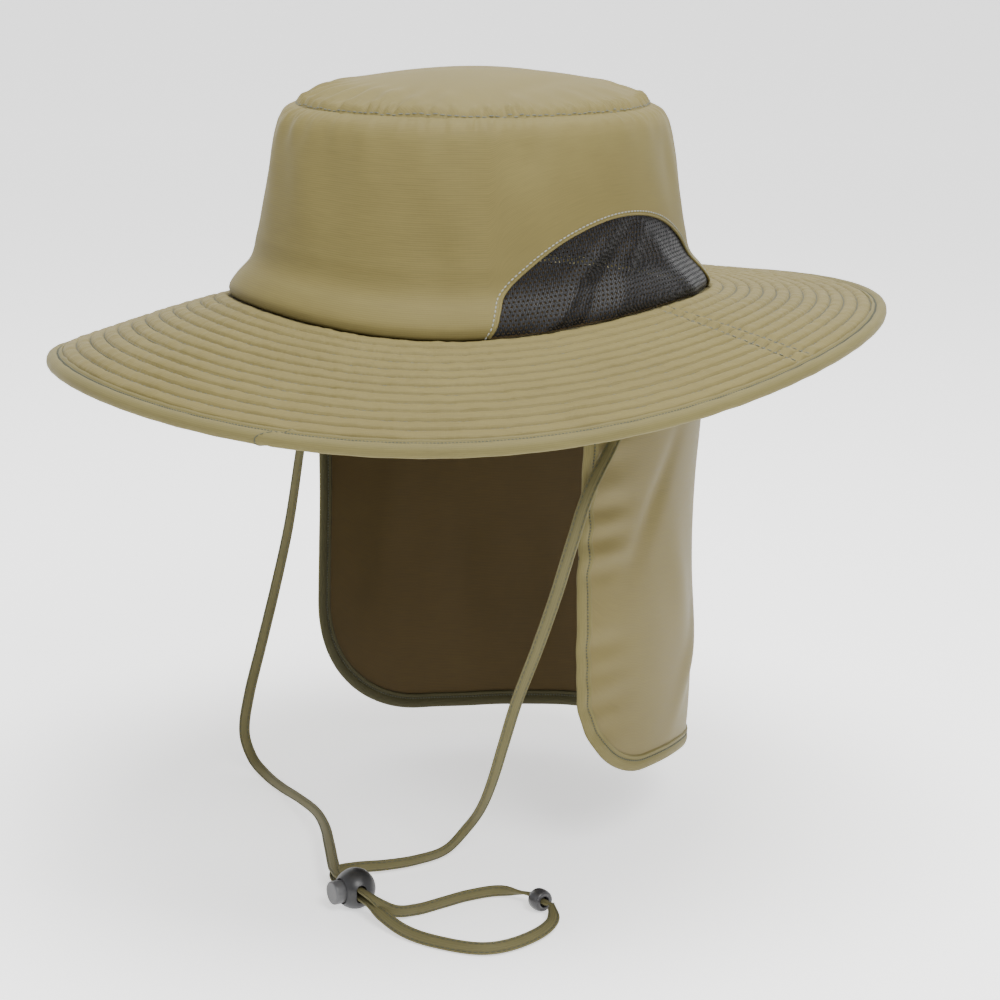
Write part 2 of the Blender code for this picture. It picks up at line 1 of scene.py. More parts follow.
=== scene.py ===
"""An olive sun hat with a stitched brim, net side vents, a neck flap and a chin strap.

Metres, +Z up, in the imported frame. The wearer faces -Y and +X is the wearer's left. Plan angles run
from the front (0) over the wearer's left (90) to the back (180).
"""

import math

import bmesh
import bpy
import numpy as np
from mathutils import Matrix, Vector


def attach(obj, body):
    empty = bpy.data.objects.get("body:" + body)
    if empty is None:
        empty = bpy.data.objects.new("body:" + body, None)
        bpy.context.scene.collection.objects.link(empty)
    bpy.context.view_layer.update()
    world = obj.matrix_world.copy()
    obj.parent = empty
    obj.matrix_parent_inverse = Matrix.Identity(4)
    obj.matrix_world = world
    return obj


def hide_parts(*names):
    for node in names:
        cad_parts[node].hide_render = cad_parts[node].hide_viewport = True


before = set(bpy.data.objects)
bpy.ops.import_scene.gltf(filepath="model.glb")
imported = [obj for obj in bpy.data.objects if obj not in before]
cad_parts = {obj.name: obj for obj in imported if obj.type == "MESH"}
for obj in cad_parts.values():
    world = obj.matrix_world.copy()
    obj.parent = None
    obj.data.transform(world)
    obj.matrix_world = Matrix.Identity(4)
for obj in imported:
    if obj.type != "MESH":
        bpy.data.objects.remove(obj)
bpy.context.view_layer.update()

# Studio: the photograph's camera, a pale floor that sweeps up behind the hat, a large soft key light
# beside the camera, a soft light overhead and an even white surround.
CAMERA_PLACE = (0.68335, -0.74188, 0.15866)
CAMERA_RIGHT = (0.74144041, 0.67085935, 0.0146237)
CAMERA_UP = (-0.16976616, 0.16645385, 0.97132516)
CAMERA_BACK = (0.64918839, -0.72266233, 0.23730483)
CAMERA_LENS = 89.61
FLOOR_HEIGHT = -0.2250
FLOOR_HALF = 6.0
SWEEP_START = 3.0
SWEEP_RADIUS = 1.5
FLOOR_GLOW = 0.95


def node(tree, kind, inputs=None, **settings):
    """A new node. inputs maps a socket's name or number to a value or to another node's socket."""
    made = tree.nodes.new(kind)
    for key, value in settings.items():
        setattr(made, key, value)
    for key, value in (inputs or {}).items():
        if isinstance(value, bpy.types.NodeSocket):
            tree.links.new(value, made.inputs[key])
        else:
            made.inputs[key].default_value = value
    return made


def plain(name, colour, roughness):
    made = bpy.data.materials.new(name)
    made.use_nodes = True
    shader = made.node_tree.nodes["Principled BSDF"]
    shader.inputs["Base Color"].default_value = (*colour, 1)
    shader.inputs["Roughness"].default_value = roughness
    return made


camera = bpy.data.objects.new("camera", bpy.data.cameras.new("camera"))
bpy.context.scene.collection.objects.link(camera)
camera.data.lens = CAMERA_LENS
camera.data.sensor_width = 36
camera.data.clip_start = 0.01
axes = Matrix((CAMERA_RIGHT, CAMERA_UP, CAMERA_BACK)).transposed().to_4x4()
camera.matrix_world = Matrix.Translation(CAMERA_PLACE) @ axes
bpy.context.scene.camera = camera

away = Vector((-CAMERA_BACK[0], -CAMERA_BACK[1], 0)).normalized()
aside = Vector((away.y, -away.x, 0))
profile = [(-FLOOR_HALF, 0.0), (SWEEP_START, 0.0)]
for step in range(1, 13):
    turn = math.pi / 2 * step / 12
    profile.append((SWEEP_START + SWEEP_RADIUS * math.sin(turn), SWEEP_RADIUS * (1 - math.cos(turn))))
profile.append((SWEEP_START + SWEEP_RADIUS, FLOOR_HALF))
work = bmesh.new()
lines = []
for back, up in profile:
    middle = away * back + Vector((0, 0, FLOOR_HEIGHT + up))
    lines.append([work.verts.new(middle + aside * side * FLOOR_HALF) for side in (-1, 1)])
for line, following in zip(lines, lines[1:]):
    work.faces.new((line[0], line[1], following[1], following[0]))
floor_mesh = bpy.data.meshes.new("floor")
work.to_mesh(floor_mesh)
work.free()
floor_mesh.shade_smooth()
floor_paint = plain("floor_paint", (0.94, 0.94, 0.94), 0.9)
floor_paint.node_tree.nodes["Principled BSDF"].inputs["Emission Color"].default_value = (1, 1, 1, 1)
floor_paint.node_tree.nodes["Principled BSDF"].inputs["Emission Strength"].default_value = FLOOR_GLOW
floor_mesh.materials.append(floor_paint)
floor = bpy.data.objects.new("floor", floor_mesh)
bpy.context.scene.collection.objects.link(floor)

LIGHTS = (
    dict(name="key", place=(1.25, -0.60, 1.05), size=0.7, power=24),
    dict(name="fill", place=(-0.55, -1.6, 0.55), size=1.2, power=3),
    dict(name="top", place=(0.10, 0.05, 1.3), size=0.9, power=38),
)
for row in LIGHTS:
    light = bpy.data.lights.new(row["name"], "AREA")
    light.energy = row["power"]
    light.size = row["size"]
    lamp = bpy.data.objects.new(row["name"], light)
    lamp.location = row["place"]
    lamp.rotation_euler = (-Vector(row["place"])).to_track_quat("-Z", "Y").to_euler()
    bpy.context.scene.collection.objects.link(lamp)
world = bpy.data.worlds.new("surround")
bpy.context.scene.world = world
world.use_nodes = True
world.node_tree.nodes["Background"].inputs["Color"].default_value = (1, 1, 1, 1)
world.node_tree.nodes["Background"].inputs["Strength"].default_value = 0.62

# Crown side: one band of thin olive cloth round the head, flared where it meets the brim. It is sewn
# to brim and tip with its edges turned in, and an arch is left out of it on each side for a vent.
HALF_WIDTH = 0.0914
HALF_LENGTH = 0.1050
CROWN_HEIGHT = 0.0767
CROWN_CLOTH = 0.0009
CROWN_COLUMNS = 480
CROWN_ROWS = 56
SEAM_FALL = (-0.018, 0.042, -0.035, -0.030, -0.013, -0.008, 0.072, -0.003)
CROWN_SIZE = (
    (0.00, 0.992), (0.04, 0.998), (0.11, 0.968), (0.18, 0.920), (0.32, 0.889), (0.52, 0.863),
    (0.76, 0.833), (0.86, 0.815), (0.92, 0.798), (0.96, 0.776), (0.98, 0.757), (1.00, 0.728),
)
CROWN_RISE = ((0.00, 0.00), (0.50, 0.50), (0.80, 0.80), (0.92, 0.925), (0.97, 0.974), (1.00, 0.997))
CROWN_DENTS = (
    dict(angle=-42, half_angle=9, height=0.55, reach=0.45, depth=0.0018),
    dict(angle=8, half_angle=12, height=0.70, reach=0.30, depth=0.0013),
    dict(angle=38, half_angle=8, height=0.35, reach=0.30, depth=0.0013),
    dict(angle=62, half_angle=7, height=0.85, reach=0.20, depth=0.0015),
    dict(angle=118, half_angle=8, height=0.75, reach=0.25, depth=0.0015),
    dict(angle=185, half_angle=14, height=0.55, reach=0.35, depth=0.0016),
    dict(angle=238, half_angle=10, height=0.60, reach=0.35, depth=0.0015),
)
VENT_HALF_LENGTH = 0.0683
VENT_HEIGHT = 0.0412
VENT_MIDDLE = 0.0022
VENT_POINTEDNESS = 0.78
OLIVE_DARK = (0.090, 0.071, 0.021)
OLIVE_LIGHT = (0.176, 0.145, 0.048)


def harmonic(values, angle):
    """A smooth value round the hat through values taken every 45 degrees from the front."""
    terms = np.fft.rfft(values) / len(values)
    total = np.full(np.shape(angle), terms[0].real)
    for k in range(1, len(terms)):
        weight = 1 if 2 * k == len(values) else 2
        total = total + weight * (terms[k] * np.exp(1j * k * np.asarray(angle))).real
    return total


def eased(table, at):
    """A smooth value through rows of (key, value), level beyond its ends."""
    keys, values = np.array(table, float).T
    slopes = np.gradient(values, keys)
    at = np.clip(at, keys[0], keys[-1])
    i = np.clip(np.searchsorted(keys, at, side="right") - 1, 0, len(keys) - 2)
    span = keys[i + 1] - keys[i]
    t = (at - keys[i]) / span
    start = (2 * t**3 - 3 * t**2 + 1) * values[i] + (t**3 - 2 * t**2 + t) * span * slopes[i]
    return start + (3 * t**2 - 2 * t**3) * values[i + 1] + (t**3 - t**2) * span * slopes[i + 1]


def bump(distance, half_width):
    return np.exp(-2 * (distance / half_width) ** 2)


def turn_between(degrees, other):
    return (degrees - other + 180) % 360 - 180


def ripple(angle, waves, seed):
    """Uneven waves round the hat, about -1 to 1, with a whole number of turns each."""
    random = np.random.default_rng(seed)
    counts = random.integers(int(waves * 0.6), int(waves * 1.5) + 1, 7)
    phases = random.uniform(0, 2 * math.pi, 7)
    return sum(np.sin(count * angle + phase) for count, phase in zip(counts, phases)) / 3.5


def oval(angle, size=1.0):
    """Points of the head oval, scaled, at height 0."""
    angle, size = np.broadcast_arrays(angle, size)
    return np.stack([HALF_WIDTH * size * np.sin(angle), -HALF_LENGTH * size * np.cos(angle), 0 * angle], -1)


def outward(angle):
    """The head oval's level normals."""
    flat = np.stack([np.sin(angle) / HALF_WIDTH, -np.cos(angle) / HALF_LENGTH, 0 * np.asarray(angle)], -1)
    return flat / np.linalg.norm(flat, axis=-1, keepdims=True)


def seam_height(angle):
    return -CROWN_HEIGHT * harmonic(SEAM_FALL, angle)


def crown_surface(angle, height, lift=0.0):
    """Points on the crown's side at a share of its height, lifted off its outer face."""
    angle, height, lift = np.broadcast_arrays(angle, height, lift)
    out = lift.astype(float)
    for row in CROWN_DENTS:
        near = bump(turn_between(np.degrees(angle), row["angle"]), row["half_angle"])
        out = out - row["depth"] * near * bump(height - row["height"], row["reach"])
    out = out + 0.0006 * ripple(angle, 90, 3) * bump(height - 0.98, 0.04)
    out = out + 0.0006 * ripple(angle, 26, 4) * bump(height - 0.92, 0.12)
    out = out + 0.0006 * ripple(angle + 0.25 * height, 17, 5) * bump(height - 0.72, 0.40)
    point = oval(angle, eased(CROWN_SIZE, height)) + outward(angle) * out[..., None]
    point[..., 2] = CROWN_HEIGHT * eased(CROWN_RISE, height) + seam_height(angle) * (1 - height)
    return point


def arch_height(along):
    """The vent's edge above the head plane, by its place along the hat."""
    share = np.clip((along - VENT_MIDDLE) / VENT_HALF_LENGTH, -1, 1)
    lowest = seam_height(np.linspace(0, 2 * math.pi, 361)).min()
    return lowest / 2 + VENT_HEIGHT * (1 - share**2) ** VENT_POINTEDNESS


def arch_share(angle):
    """The share of the crown's height where the vent ends, 0 in front of and behind it."""
    low, high = np.zeros_like(angle), np.ones_like(angle)
    for _ in range(24):
        middle = (low + high) / 2
        point = crown_surface(angle, middle)
        inside = (point[..., 2] < arch_height(point[..., 1])) & (abs(point[..., 1] - VENT_MIDDLE) < VENT_HALF_LENGTH)
        low, high = np.where(inside, middle, low), np.where(inside, high, middle)
    foot = crown_surface(angle, 0 * angle)[..., 1]
    return np.where(abs(foot - VENT_MIDDLE) < VENT_HALF_LENGTH, low, 0.0)


def wall(name, outer, inner, wrap, finish, flat=False):
    """A closed wall between two grids of points[column, row], with its UV map in metres."""
    rows = outer.shape[1]
    section = np.concatenate([outer, inner[:, ::-1]], axis=1)
    columns, around = section.shape[:2]
    index = np.arange(columns * around).reshape(columns, around)
    here = index if wrap else index[:-1]
    there = np.roll(index, -1, axis=0) if wrap else index[1:]
    quads = np.stack([here, there, np.roll(there, -1, 1), np.roll(here, -1, 1)], -1)
    u = np.concatenate([[0], np.cumsum(np.linalg.norm(np.roll(outer, -1, 0) - outer, axis=-1).mean(1))])
    v = np.concatenate([[0], np.cumsum(np.linalg.norm(np.roll(section, -1, 1) - section, axis=-1).mean(0))])
    i, j = np.meshgrid(np.arange(len(here)), np.arange(around), indexing="ij")
    corner = np.stack([np.stack([u[i + a], v[j + b]], -1) for a, b in ((0, 0), (1, 0), (1, 1), (0, 1))], 2)
    faces, places = [quads.reshape(-1, 4)], [corner.reshape(-1, 4, 2)]
    for end in () if wrap else (0, -1):
        face, back = index[end][:rows], index[end][::-1][:rows]
        faces.append(np.stack([face[:-1], face[1:], back[1:], back[:-1]], -1))
        places.append(np.zeros((rows - 1, 4, 2)))
    faces, places = np.concatenate(faces), np.concatenate(places)
    points = section.reshape(-1, 3)
    if flat:
        places = points[faces][..., :2]
    mesh = bpy.data.meshes.new(name)
    mesh.from_pydata(points.tolist(), [], faces.tolist())
    mesh.uv_layers.new(name="cloth").data.foreach_set("uv", places.ravel())
    return closed_object(name, mesh, finish)


def closed_object(name, mesh, finish):
    """A piece from a mesh, with doubles merged and its faces outwards."""
    work = bmesh.new()
    work.from_mesh(mesh)
    bmesh.ops.remove_doubles(work, verts=work.verts[:], dist=1e-7)
    bmesh.ops.recalc_face_normals(work, faces=work.faces[:])
    work.to_mesh(mesh)
    work.free()
    mesh.shade_smooth()
    if finish:
        mesh.materials.append(finish)
    made = bpy.data.objects.new(name, mesh)
    bpy.context.scene.collection.objects.link(made)
    return made


def maths(tree, operation, first, second=0.0):
    return node(tree, "ShaderNodeMath", {0: first, 1: second}, operation=operation).outputs[0]


def cloth(name, dark, light, weft=0.0007, warp=0.00045, relief=0.00005, roughness=0.72, quilted=False):
    """Plain woven cloth on the UV map: ribs of weft, slubs along the threads and soft blotches."""
    made = plain(name, light, roughness)
    tree = made.node_tree
    shader = tree.nodes["Principled BSDF"]
    shader.inputs["Sheen Weight"].default_value = 0.06
    shader.inputs["Sheen Roughness"].default_value = 0.4
    shader.inputs["Sheen Tint"].default_value = (0.85, 0.80, 0.55, 1)
    shader.inputs["Specular IOR Level"].default_value = 0.25
    place = node(tree, "ShaderNodeUVMap", uv_map="cloth").outputs[0]
    space = node(tree, "ShaderNodeTexCoord").outputs["Object"]
    ribs = node(
        tree, "ShaderNodeTexWave", {"Vector": place, "Scale": math.pi / 10 / weft, "Distortion": 0.6},
        bands_direction="Y",
    ).outputs["Fac"]
    threads = node(
        tree, "ShaderNodeTexWave", {"Vector": place, "Scale": math.pi / 10 / warp, "Distortion": 0.4},
        bands_direction="X",
    ).outputs["Fac"]
    stretched = node(tree, "ShaderNodeMapping", {"Vector": place, "Scale": (90, 1400, 1)}).outputs[0]
    slubs = node(tree, "ShaderNodeTexNoise", {"Vector": stretched, "Scale": 1.0, "Detail": 2}).outputs["Fac"]
    blotches = node(tree, "ShaderNodeTexNoise", {"Vector": space, "Scale": 26, "Detail": 3}).outputs["Fac"]
    woven = maths(tree, "ADD", maths(tree, "MULTIPLY", ribs, 0.20), maths(tree, "MULTIPLY", threads, 0.12))
    mixed = maths(tree, "ADD", woven, maths(tree, "MULTIPLY", slubs, 0.45))
    share = maths(tree, "ADD", mixed, maths(tree, "MULTIPLY", blotches, 0.35))
    colour = node(
        tree, "ShaderNodeMix", {0: maths(tree, "SUBTRACT", share, 0.06), 6: (*dark, 1), 7: (*light, 1)},
        data_type="RGBA",
    ).outputs[2]
    rough = maths(tree, "ADD", maths(tree, "MULTIPLY", slubs, 0.16), roughness - 0.08)
    tree.links.new(rough, shader.inputs["Roughness"])
    height = maths(tree, "ADD", woven, maths(tree, "MULTIPLY", slubs, 0.5))
    relief_node = node(tree, "ShaderNodeBump", {"Height": height, "Distance": relief, "Strength": 0.8})
    if quilted:
        row = node(tree, "ShaderNodeAttribute", attribute_name="row").outputs["Fac"]
        middle = maths(tree, "ABSOLUTE", maths(tree, "SUBTRACT", maths(tree, "FRACT", row), 0.5))
        groove = maths(tree, "POWER", maths(tree, "MULTIPLY", middle, 2.0), 9.0)
        # Painted shade: the colour darkens along the stitched grooves between the puffed ribs.
        shade = maths(tree, "MULTIPLY", groove, 0.75)
        colour = node(
            tree, "ShaderNodeMix", {0: shade, 6: colour, 7: tuple(0.32 * c for c in dark) + (1,)}, data_type="RGBA"
        ).outputs[2]
        drawn = node(tree, "ShaderNodeMapping", {"Vector": place, "Rotation": (0, 0, 0.35), "Scale": (420, 110, 1)})
        puckers = node(tree, "ShaderNodeTexNoise", {"Vector": drawn.outputs[0], "Scale": 1.0, "Detail": 2}).outputs[0]
        near = maths(tree, "ADD", maths(tree, "MULTIPLY", maths(tree, "POWER", middle, 2.0), 3.0), 0.25)
        pulled = maths(tree, "MULTIPLY", puckers, near)
        relief_node = node(
            tree, "ShaderNodeBump",
            {"Height": pulled, "Distance": 0.0007, "Strength": 0.9, "Normal": relief_node.outputs[0]},
        )
    tree.links.new(colour, shader.inputs["Base Color"])
    tree.links.new(relief_node.outputs[0], shader.inputs["Normal"])
    return made


vent_ends = []
for side in (90, 270):
    for turn in (-1, 1):
        at = math.radians(side) + turn * math.asin(VENT_HALF_LENGTH / HALF_LENGTH)
        vent_ends.append(at + math.radians(3) * np.linspace(-1, 1, 41))
crown_angles = np.linspace(0, 2 * math.pi, CROWN_COLUMNS, endpoint=False)
crown_angles = np.unique(np.round(np.concatenate([crown_angles, *vent_ends]), 5))
crown_rows = np.linspace(0, 1, CROWN_ROWS)[None, :]
edge_share = arch_share(crown_angles)[:, None]
crown_heights = edge_share + (1 - edge_share) * crown_rows
crown_side = wall(
    "crown_side_cloth",
    crown_surface(crown_angles[:, None], crown_heights),
    crown_surface(crown_angles[:, None], crown_heights, -CROWN_CLOTH),
    True,
    cloth("crown_side_weave", OLIVE_DARK, OLIVE_LIGHT),
)
# Painted shade: the inner faces of the crown side, tip and flap get a darker copy of the same weave, standing in for
# the shadow inside the hat.
painted_shade_inside_weave = cloth("painted_shade_inside_weave", (0.036, 0.023, 0.006), (0.076, 0.050, 0.014), relief=0.00004, roughness=0.75)
crown_side.data.materials.append(painted_shade_inside_weave)
for face in crown_side.data.polygons:
    if face.normal.x * face.center.x + face.normal.y * face.center.y < 0:
        face.material_index = 1
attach(crown_side, "hat")
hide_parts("crown_side")

# Vent edges: the crown's cloth is turned in round each arch and topstitched close to the edge with
# pale grey thread.
EDGE_RADIUS = 0.0005
TOPSTITCH_OUT = 0.0014
STITCH_PITCH = 0.0027
THREAD = 0.00024
THREAD_COLOUR = (0.135, 0.145, 0.115)


def grown(name, source, inputs, build):
    """The plain mesh that a tree of geometry nodes makes of a source object, which is then removed."""
    tree = bpy.data.node_groups.new(name, "GeometryNodeTree")
    tree.interface.new_socket("Geometry", in_out="INPUT", socket_type="NodeSocketGeometry")
    tree.interface.new_socket("Geometry", in_out="OUTPUT", socket_type="NodeSocketGeometry")
    identifiers = {}
    for label, value in inputs.items():
        kind = "NodeSocketMaterial" if isinstance(value, bpy.types.Material) else "NodeSocketFloat"
        identifiers[label] = tree.interface.new_socket(label, in_out="INPUT", socket_type=kind).identifier
    given = tree.nodes.new("NodeGroupInput").outputs
    finished = node(tree, "GeometryNodeRealizeInstances", {"Geometry": build(tree, given)})
    painted = node(
        tree, "GeometryNodeSetMaterial", {"Geometry": finished.outputs[0], "Material": given["Material"]}
    )
    node(tree, "NodeGroupOutput", {0: painted.outputs[0]})
    modifier = source.modifiers.new(name, "NODES")
    modifier.node_group = tree
    for label, value in inputs.items():
        modifier[identifiers[label]] = value
    graph = bpy.context.evaluated_depsgraph_get()
    ready = source.evaluated_get(graph)
    mesh = bpy.data.meshes.new_from_object(ready, preserve_all_data_layers=True, depsgraph=graph)
    mesh.name = name
    source.modifiers.remove(modifier)
    bpy.data.objects.remove(source, do_unlink=True)
    made = bpy.data.objects.new(name, mesh)
    bpy.context.scene.collection.objects.link(made)
    return made


def stitch_nodes(tree, given):
    """Threads laid end to end along curves: Pitch from one to the next, Thread half as thick."""
    points = node(
        tree, "GeometryNodeResampleCurve", {"Curve": given["Geometry"], "Length": given["Pitch"]}, mode="LENGTH"
    ).outputs[0]
    ball = node(tree, "GeometryNodeMeshUVSphere", {"Segments": 6, "Rings": 4, "Radius": 1.0}).outputs[0]
    long = maths(tree, "MULTIPLY", given["Pitch"], 0.40)
    size = node(tree, "ShaderNodeCombineXYZ", {0: long, 1: given["Thread"], 2: given["Thread"]}).outputs[0]
    one = node(tree, "GeometryNodeTransform", {"Geometry": ball, "Scale": size}).outputs[0]
    tangent = node(tree, "GeometryNodeInputTangent").outputs[0]
    turn = node(tree, "FunctionNodeAlignRotationToVector", {"Vector": tangent}, axis="X").outputs[0]
    return node(
        tree, "GeometryNodeInstanceOnPoints", {"Points": points, "Instance": one, "Rotation": turn}
    ).outputs[0]


def stitches(name, rows, closed, pitch, finish, thick=THREAD):
    """Rows of stitches, each row an array of points on the cloth."""
    lines = bpy.data.curves.new(name + "_lines", "CURVE")
    lines.dimensions = "3D"
    for row in rows:
        spline = lines.splines.new("POLY")
        spline.points.add(len(row) - 1)
        spline.points.foreach_set("co", np.column_stack([row, np.ones(len(row))]).ravel())
        spline.use_cyclic_u = closed
    source = bpy.data.objects.new(name + "_lines", lines)
    bpy.context.scene.collection.objects.link(source)
    made = grown(name, source, {"Pitch": pitch, "Thread": thick, "Material": finish}, stitch_nodes)
    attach(made, "hat")
    return made


def vent_line(side, out, lift):
    """Points along a vent's arch, moved out across the cloth and lifted off it."""
    share = np.sin(np.linspace(-math.pi / 2, math.pi / 2, 161))
    along = VENT_MIDDLE + share * VENT_HALF_LENGTH
    flat = np.column_stack([along, arch_height(along)])
    run = np.gradient(flat, axis=0)
    run /= np.linalg.norm(run, axis=1, keepdims=True)
    flat = flat + np.column_stack([-run[:, 1], run[:, 0]]) * out
    height = np.full(len(flat), 0.3)
    for _ in range(12):
        size = eased(CROWN_SIZE, height)
        angle = np.arccos(np.clip(-flat[:, 0] / (HALF_LENGTH * size), -1, 1))
        angle = angle if side > 0 else 2 * math.pi - angle
        foot = seam_height(angle)
        height = (flat[:, 1] - foot) / (CROWN_HEIGHT - foot)
    keep = height > 0.0
    return crown_surface(angle, np.clip(height, 0, 1), lift)[keep]


def tube_mesh(name, path, radius, finish, sides=8):
    """A round cord of cloth along an open line of points."""
    curve = bpy.data.curves.new(name, "CURVE")
    curve.dimensions = "3D"
    curve.bevel_depth = radius
    curve.bevel_resolution = sides // 4
    curve.use_fill_caps = True
    spline = curve.splines.new("POLY")
    spline.points.add(len(path) - 1)
    spline.points.foreach_set("co", np.column_stack([path, np.ones(len(path))]).ravel())
    source = bpy.data.objects.new(name, curve)
    bpy.context.scene.collection.objects.link(source)
    ready = source.evaluated_get(bpy.context.evaluated_depsgraph_get())
    mesh = bpy.data.meshes.new_from_object(ready)
    bpy.data.objects.remove(source, do_unlink=True)
    mesh.name = name
    mesh.materials.clear()
    return closed_object(name, mesh, finish)


def plain_cloth(name, dark, light):
    """Cloth too narrow for its threads to show: blotches and fine grain on Object coordinates."""
    made = plain(name, light, 0.75)
    tree = made.node_tree
    shader = tree.nodes["Principled BSDF"]
    shader.inputs["Sheen Weight"].default_value = 0.05
    shader.inputs["Specular IOR Level"].default_value = 0.25
    space = node(tree, "ShaderNodeTexCoord").outputs["Object"]
    grain = node(tree, "ShaderNodeTexNoise", {"Vector": space, "Scale": 1500, "Detail": 2}).outputs["Fac"]
    soft = node(tree, "ShaderNodeTexNoise", {"Vector": space, "Scale": 60, "Detail": 3}).outputs["Fac"]
    share = maths(tree, "ADD", maths(tree, "MULTIPLY", grain, 0.6), maths(tree, "MULTIPLY", soft, 0.5))
    colour = node(tree, "ShaderNodeMix", {0: share, 6: (*dark, 1), 7: (*light, 1)}, data_type="RGBA").outputs[2]
    tree.links.new(colour, shader.inputs["Base Color"])
    rough = maths(tree, "ADD", maths(tree, "MULTIPLY", grain, 0.2), 0.62)
    tree.links.new(rough, shader.inputs["Roughness"])
    relief = node(tree, "ShaderNodeBump", {"Height": grain, "Distance": 0.00006, "Strength": 0.7}).outputs[0]
    tree.links.new(relief, shader.inputs["Normal"])
    return made


thread = plain_cloth("grey_thread", tuple(0.7 * c for c in THREAD_COLOUR), THREAD_COLOUR)
turned_edge = plain_cloth("turned_edge", OLIVE_DARK, OLIVE_LIGHT)
vent_rows = []
for side, word in ((1, "left"), (-1, "right")):
    edge = tube_mesh("vent_edge_" + word, vent_line(side, 0.0002, -0.0003), EDGE_RADIUS, turned_edge)
    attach(edge, "hat")
    vent_rows.append(vent_line(side, TOPSTITCH_OUT, 0.00015))
pale_thread = plain_cloth("pale_thread", (0.16, 0.165, 0.14), (0.30, 0.31, 0.27))
vent_stitches = stitches("vent_stitches", vent_rows, False, 0.0019, pale_thread, 0.0003)

# Side vents: dark knitted net behind each arch, with staggered oval holes. Its top lies under the
# crown's turned edge, and its foot is sewn into the brim seam.
NET_PITCH = 0.00190
NET_ROW = 0.00150
NET_HOLE = 0.50
NET_WALL = 0.0004
NET_SINK = 0.0011
NET_LAP = 0.0030
NET_FOLDS = (
    dict(along=-0.034, slope=1.2, width=0.005, rise=0.0017),
    dict(along=-0.022, slope=1.1, width=0.005, rise=-0.0012),
    dict(along=-0.010, slope=0.9, width=0.007, rise=0.0010),
    dict(along=0.030, slope=-0.9, width=0.009, rise=0.0012),
)
NET_DARK = (0.001, 0.001, 0.001)
NET_LIGHT = (0.022, 0.021, 0.023)


def net_nodes(tree, given):
    """Turns a lattice of triangles into six-sided meshes and opens a hole in each."""
    cells = node(tree, "GeometryNodeDualMesh", {"Mesh": given["Geometry"]}).outputs[0]
    raised = node(tree, "GeometryNodeExtrudeMesh", {"Mesh": cells, "Offset Scale": 0.0, "Individual": True})
    smaller = node(
        tree, "GeometryNodeScaleElements",
        {"Geometry": raised.outputs["Mesh"], "Selection": raised.outputs["Top"], "Scale": given["Hole"]},
    ).outputs[0]
    return node(
        tree, "GeometryNodeDeleteGeometry", {"Geometry": smaller, "Selection": raised.outputs["Top"]}, domain="FACE"
    ).outputs[0]


def net_material():
    made = plain("net_knit", NET_LIGHT, 0.5)
    tree = made.node_tree
    shader = tree.nodes["Principled BSDF"]
    shader.inputs["Specular IOR Level"].default_value = 0.22
    space = node(tree, "ShaderNodeTexCoord").outputs["Object"]
    turned = node(tree, "ShaderNodeMapping", {"Vector": space, "Rotation": (0.9, 0.3, 0)}).outputs[0]
    plies = node(
        tree, "ShaderNodeTexWave", {"Vector": turned, "Scale": math.pi / 10 / 0.0005, "Distortion": 3.0},
    ).outputs["Fac"]
    soft = node(tree, "ShaderNodeTexNoise", {"Vector": space, "Scale": 700, "Detail": 2}).outputs["Fac"]
    share = maths(tree, "MULTIPLY", plies, soft)
    share = maths(tree, "MULTIPLY", maths(tree, "POWER", share, 1.6), 2.4)
    colour = node(
        tree, "ShaderNodeMix", {0: share, 6: (*NET_DARK, 1), 7: (*NET_LIGHT, 1)}, data_type="RGBA"
    ).outputs[2]
    tree.links.new(colour, shader.inputs["Base Color"])
    rough = maths(tree, "ADD", maths(tree, "MULTIPLY", soft, 0.3), 0.32)
    tree.links.new(rough, shader.inputs["Roughness"])
    relief = node(tree, "ShaderNodeBump", {"Height": plies, "Distance": 0.00012, "Strength": 0.9}).outputs[0]
    tree.links.new(relief, shader.inputs["Normal"])
    return made


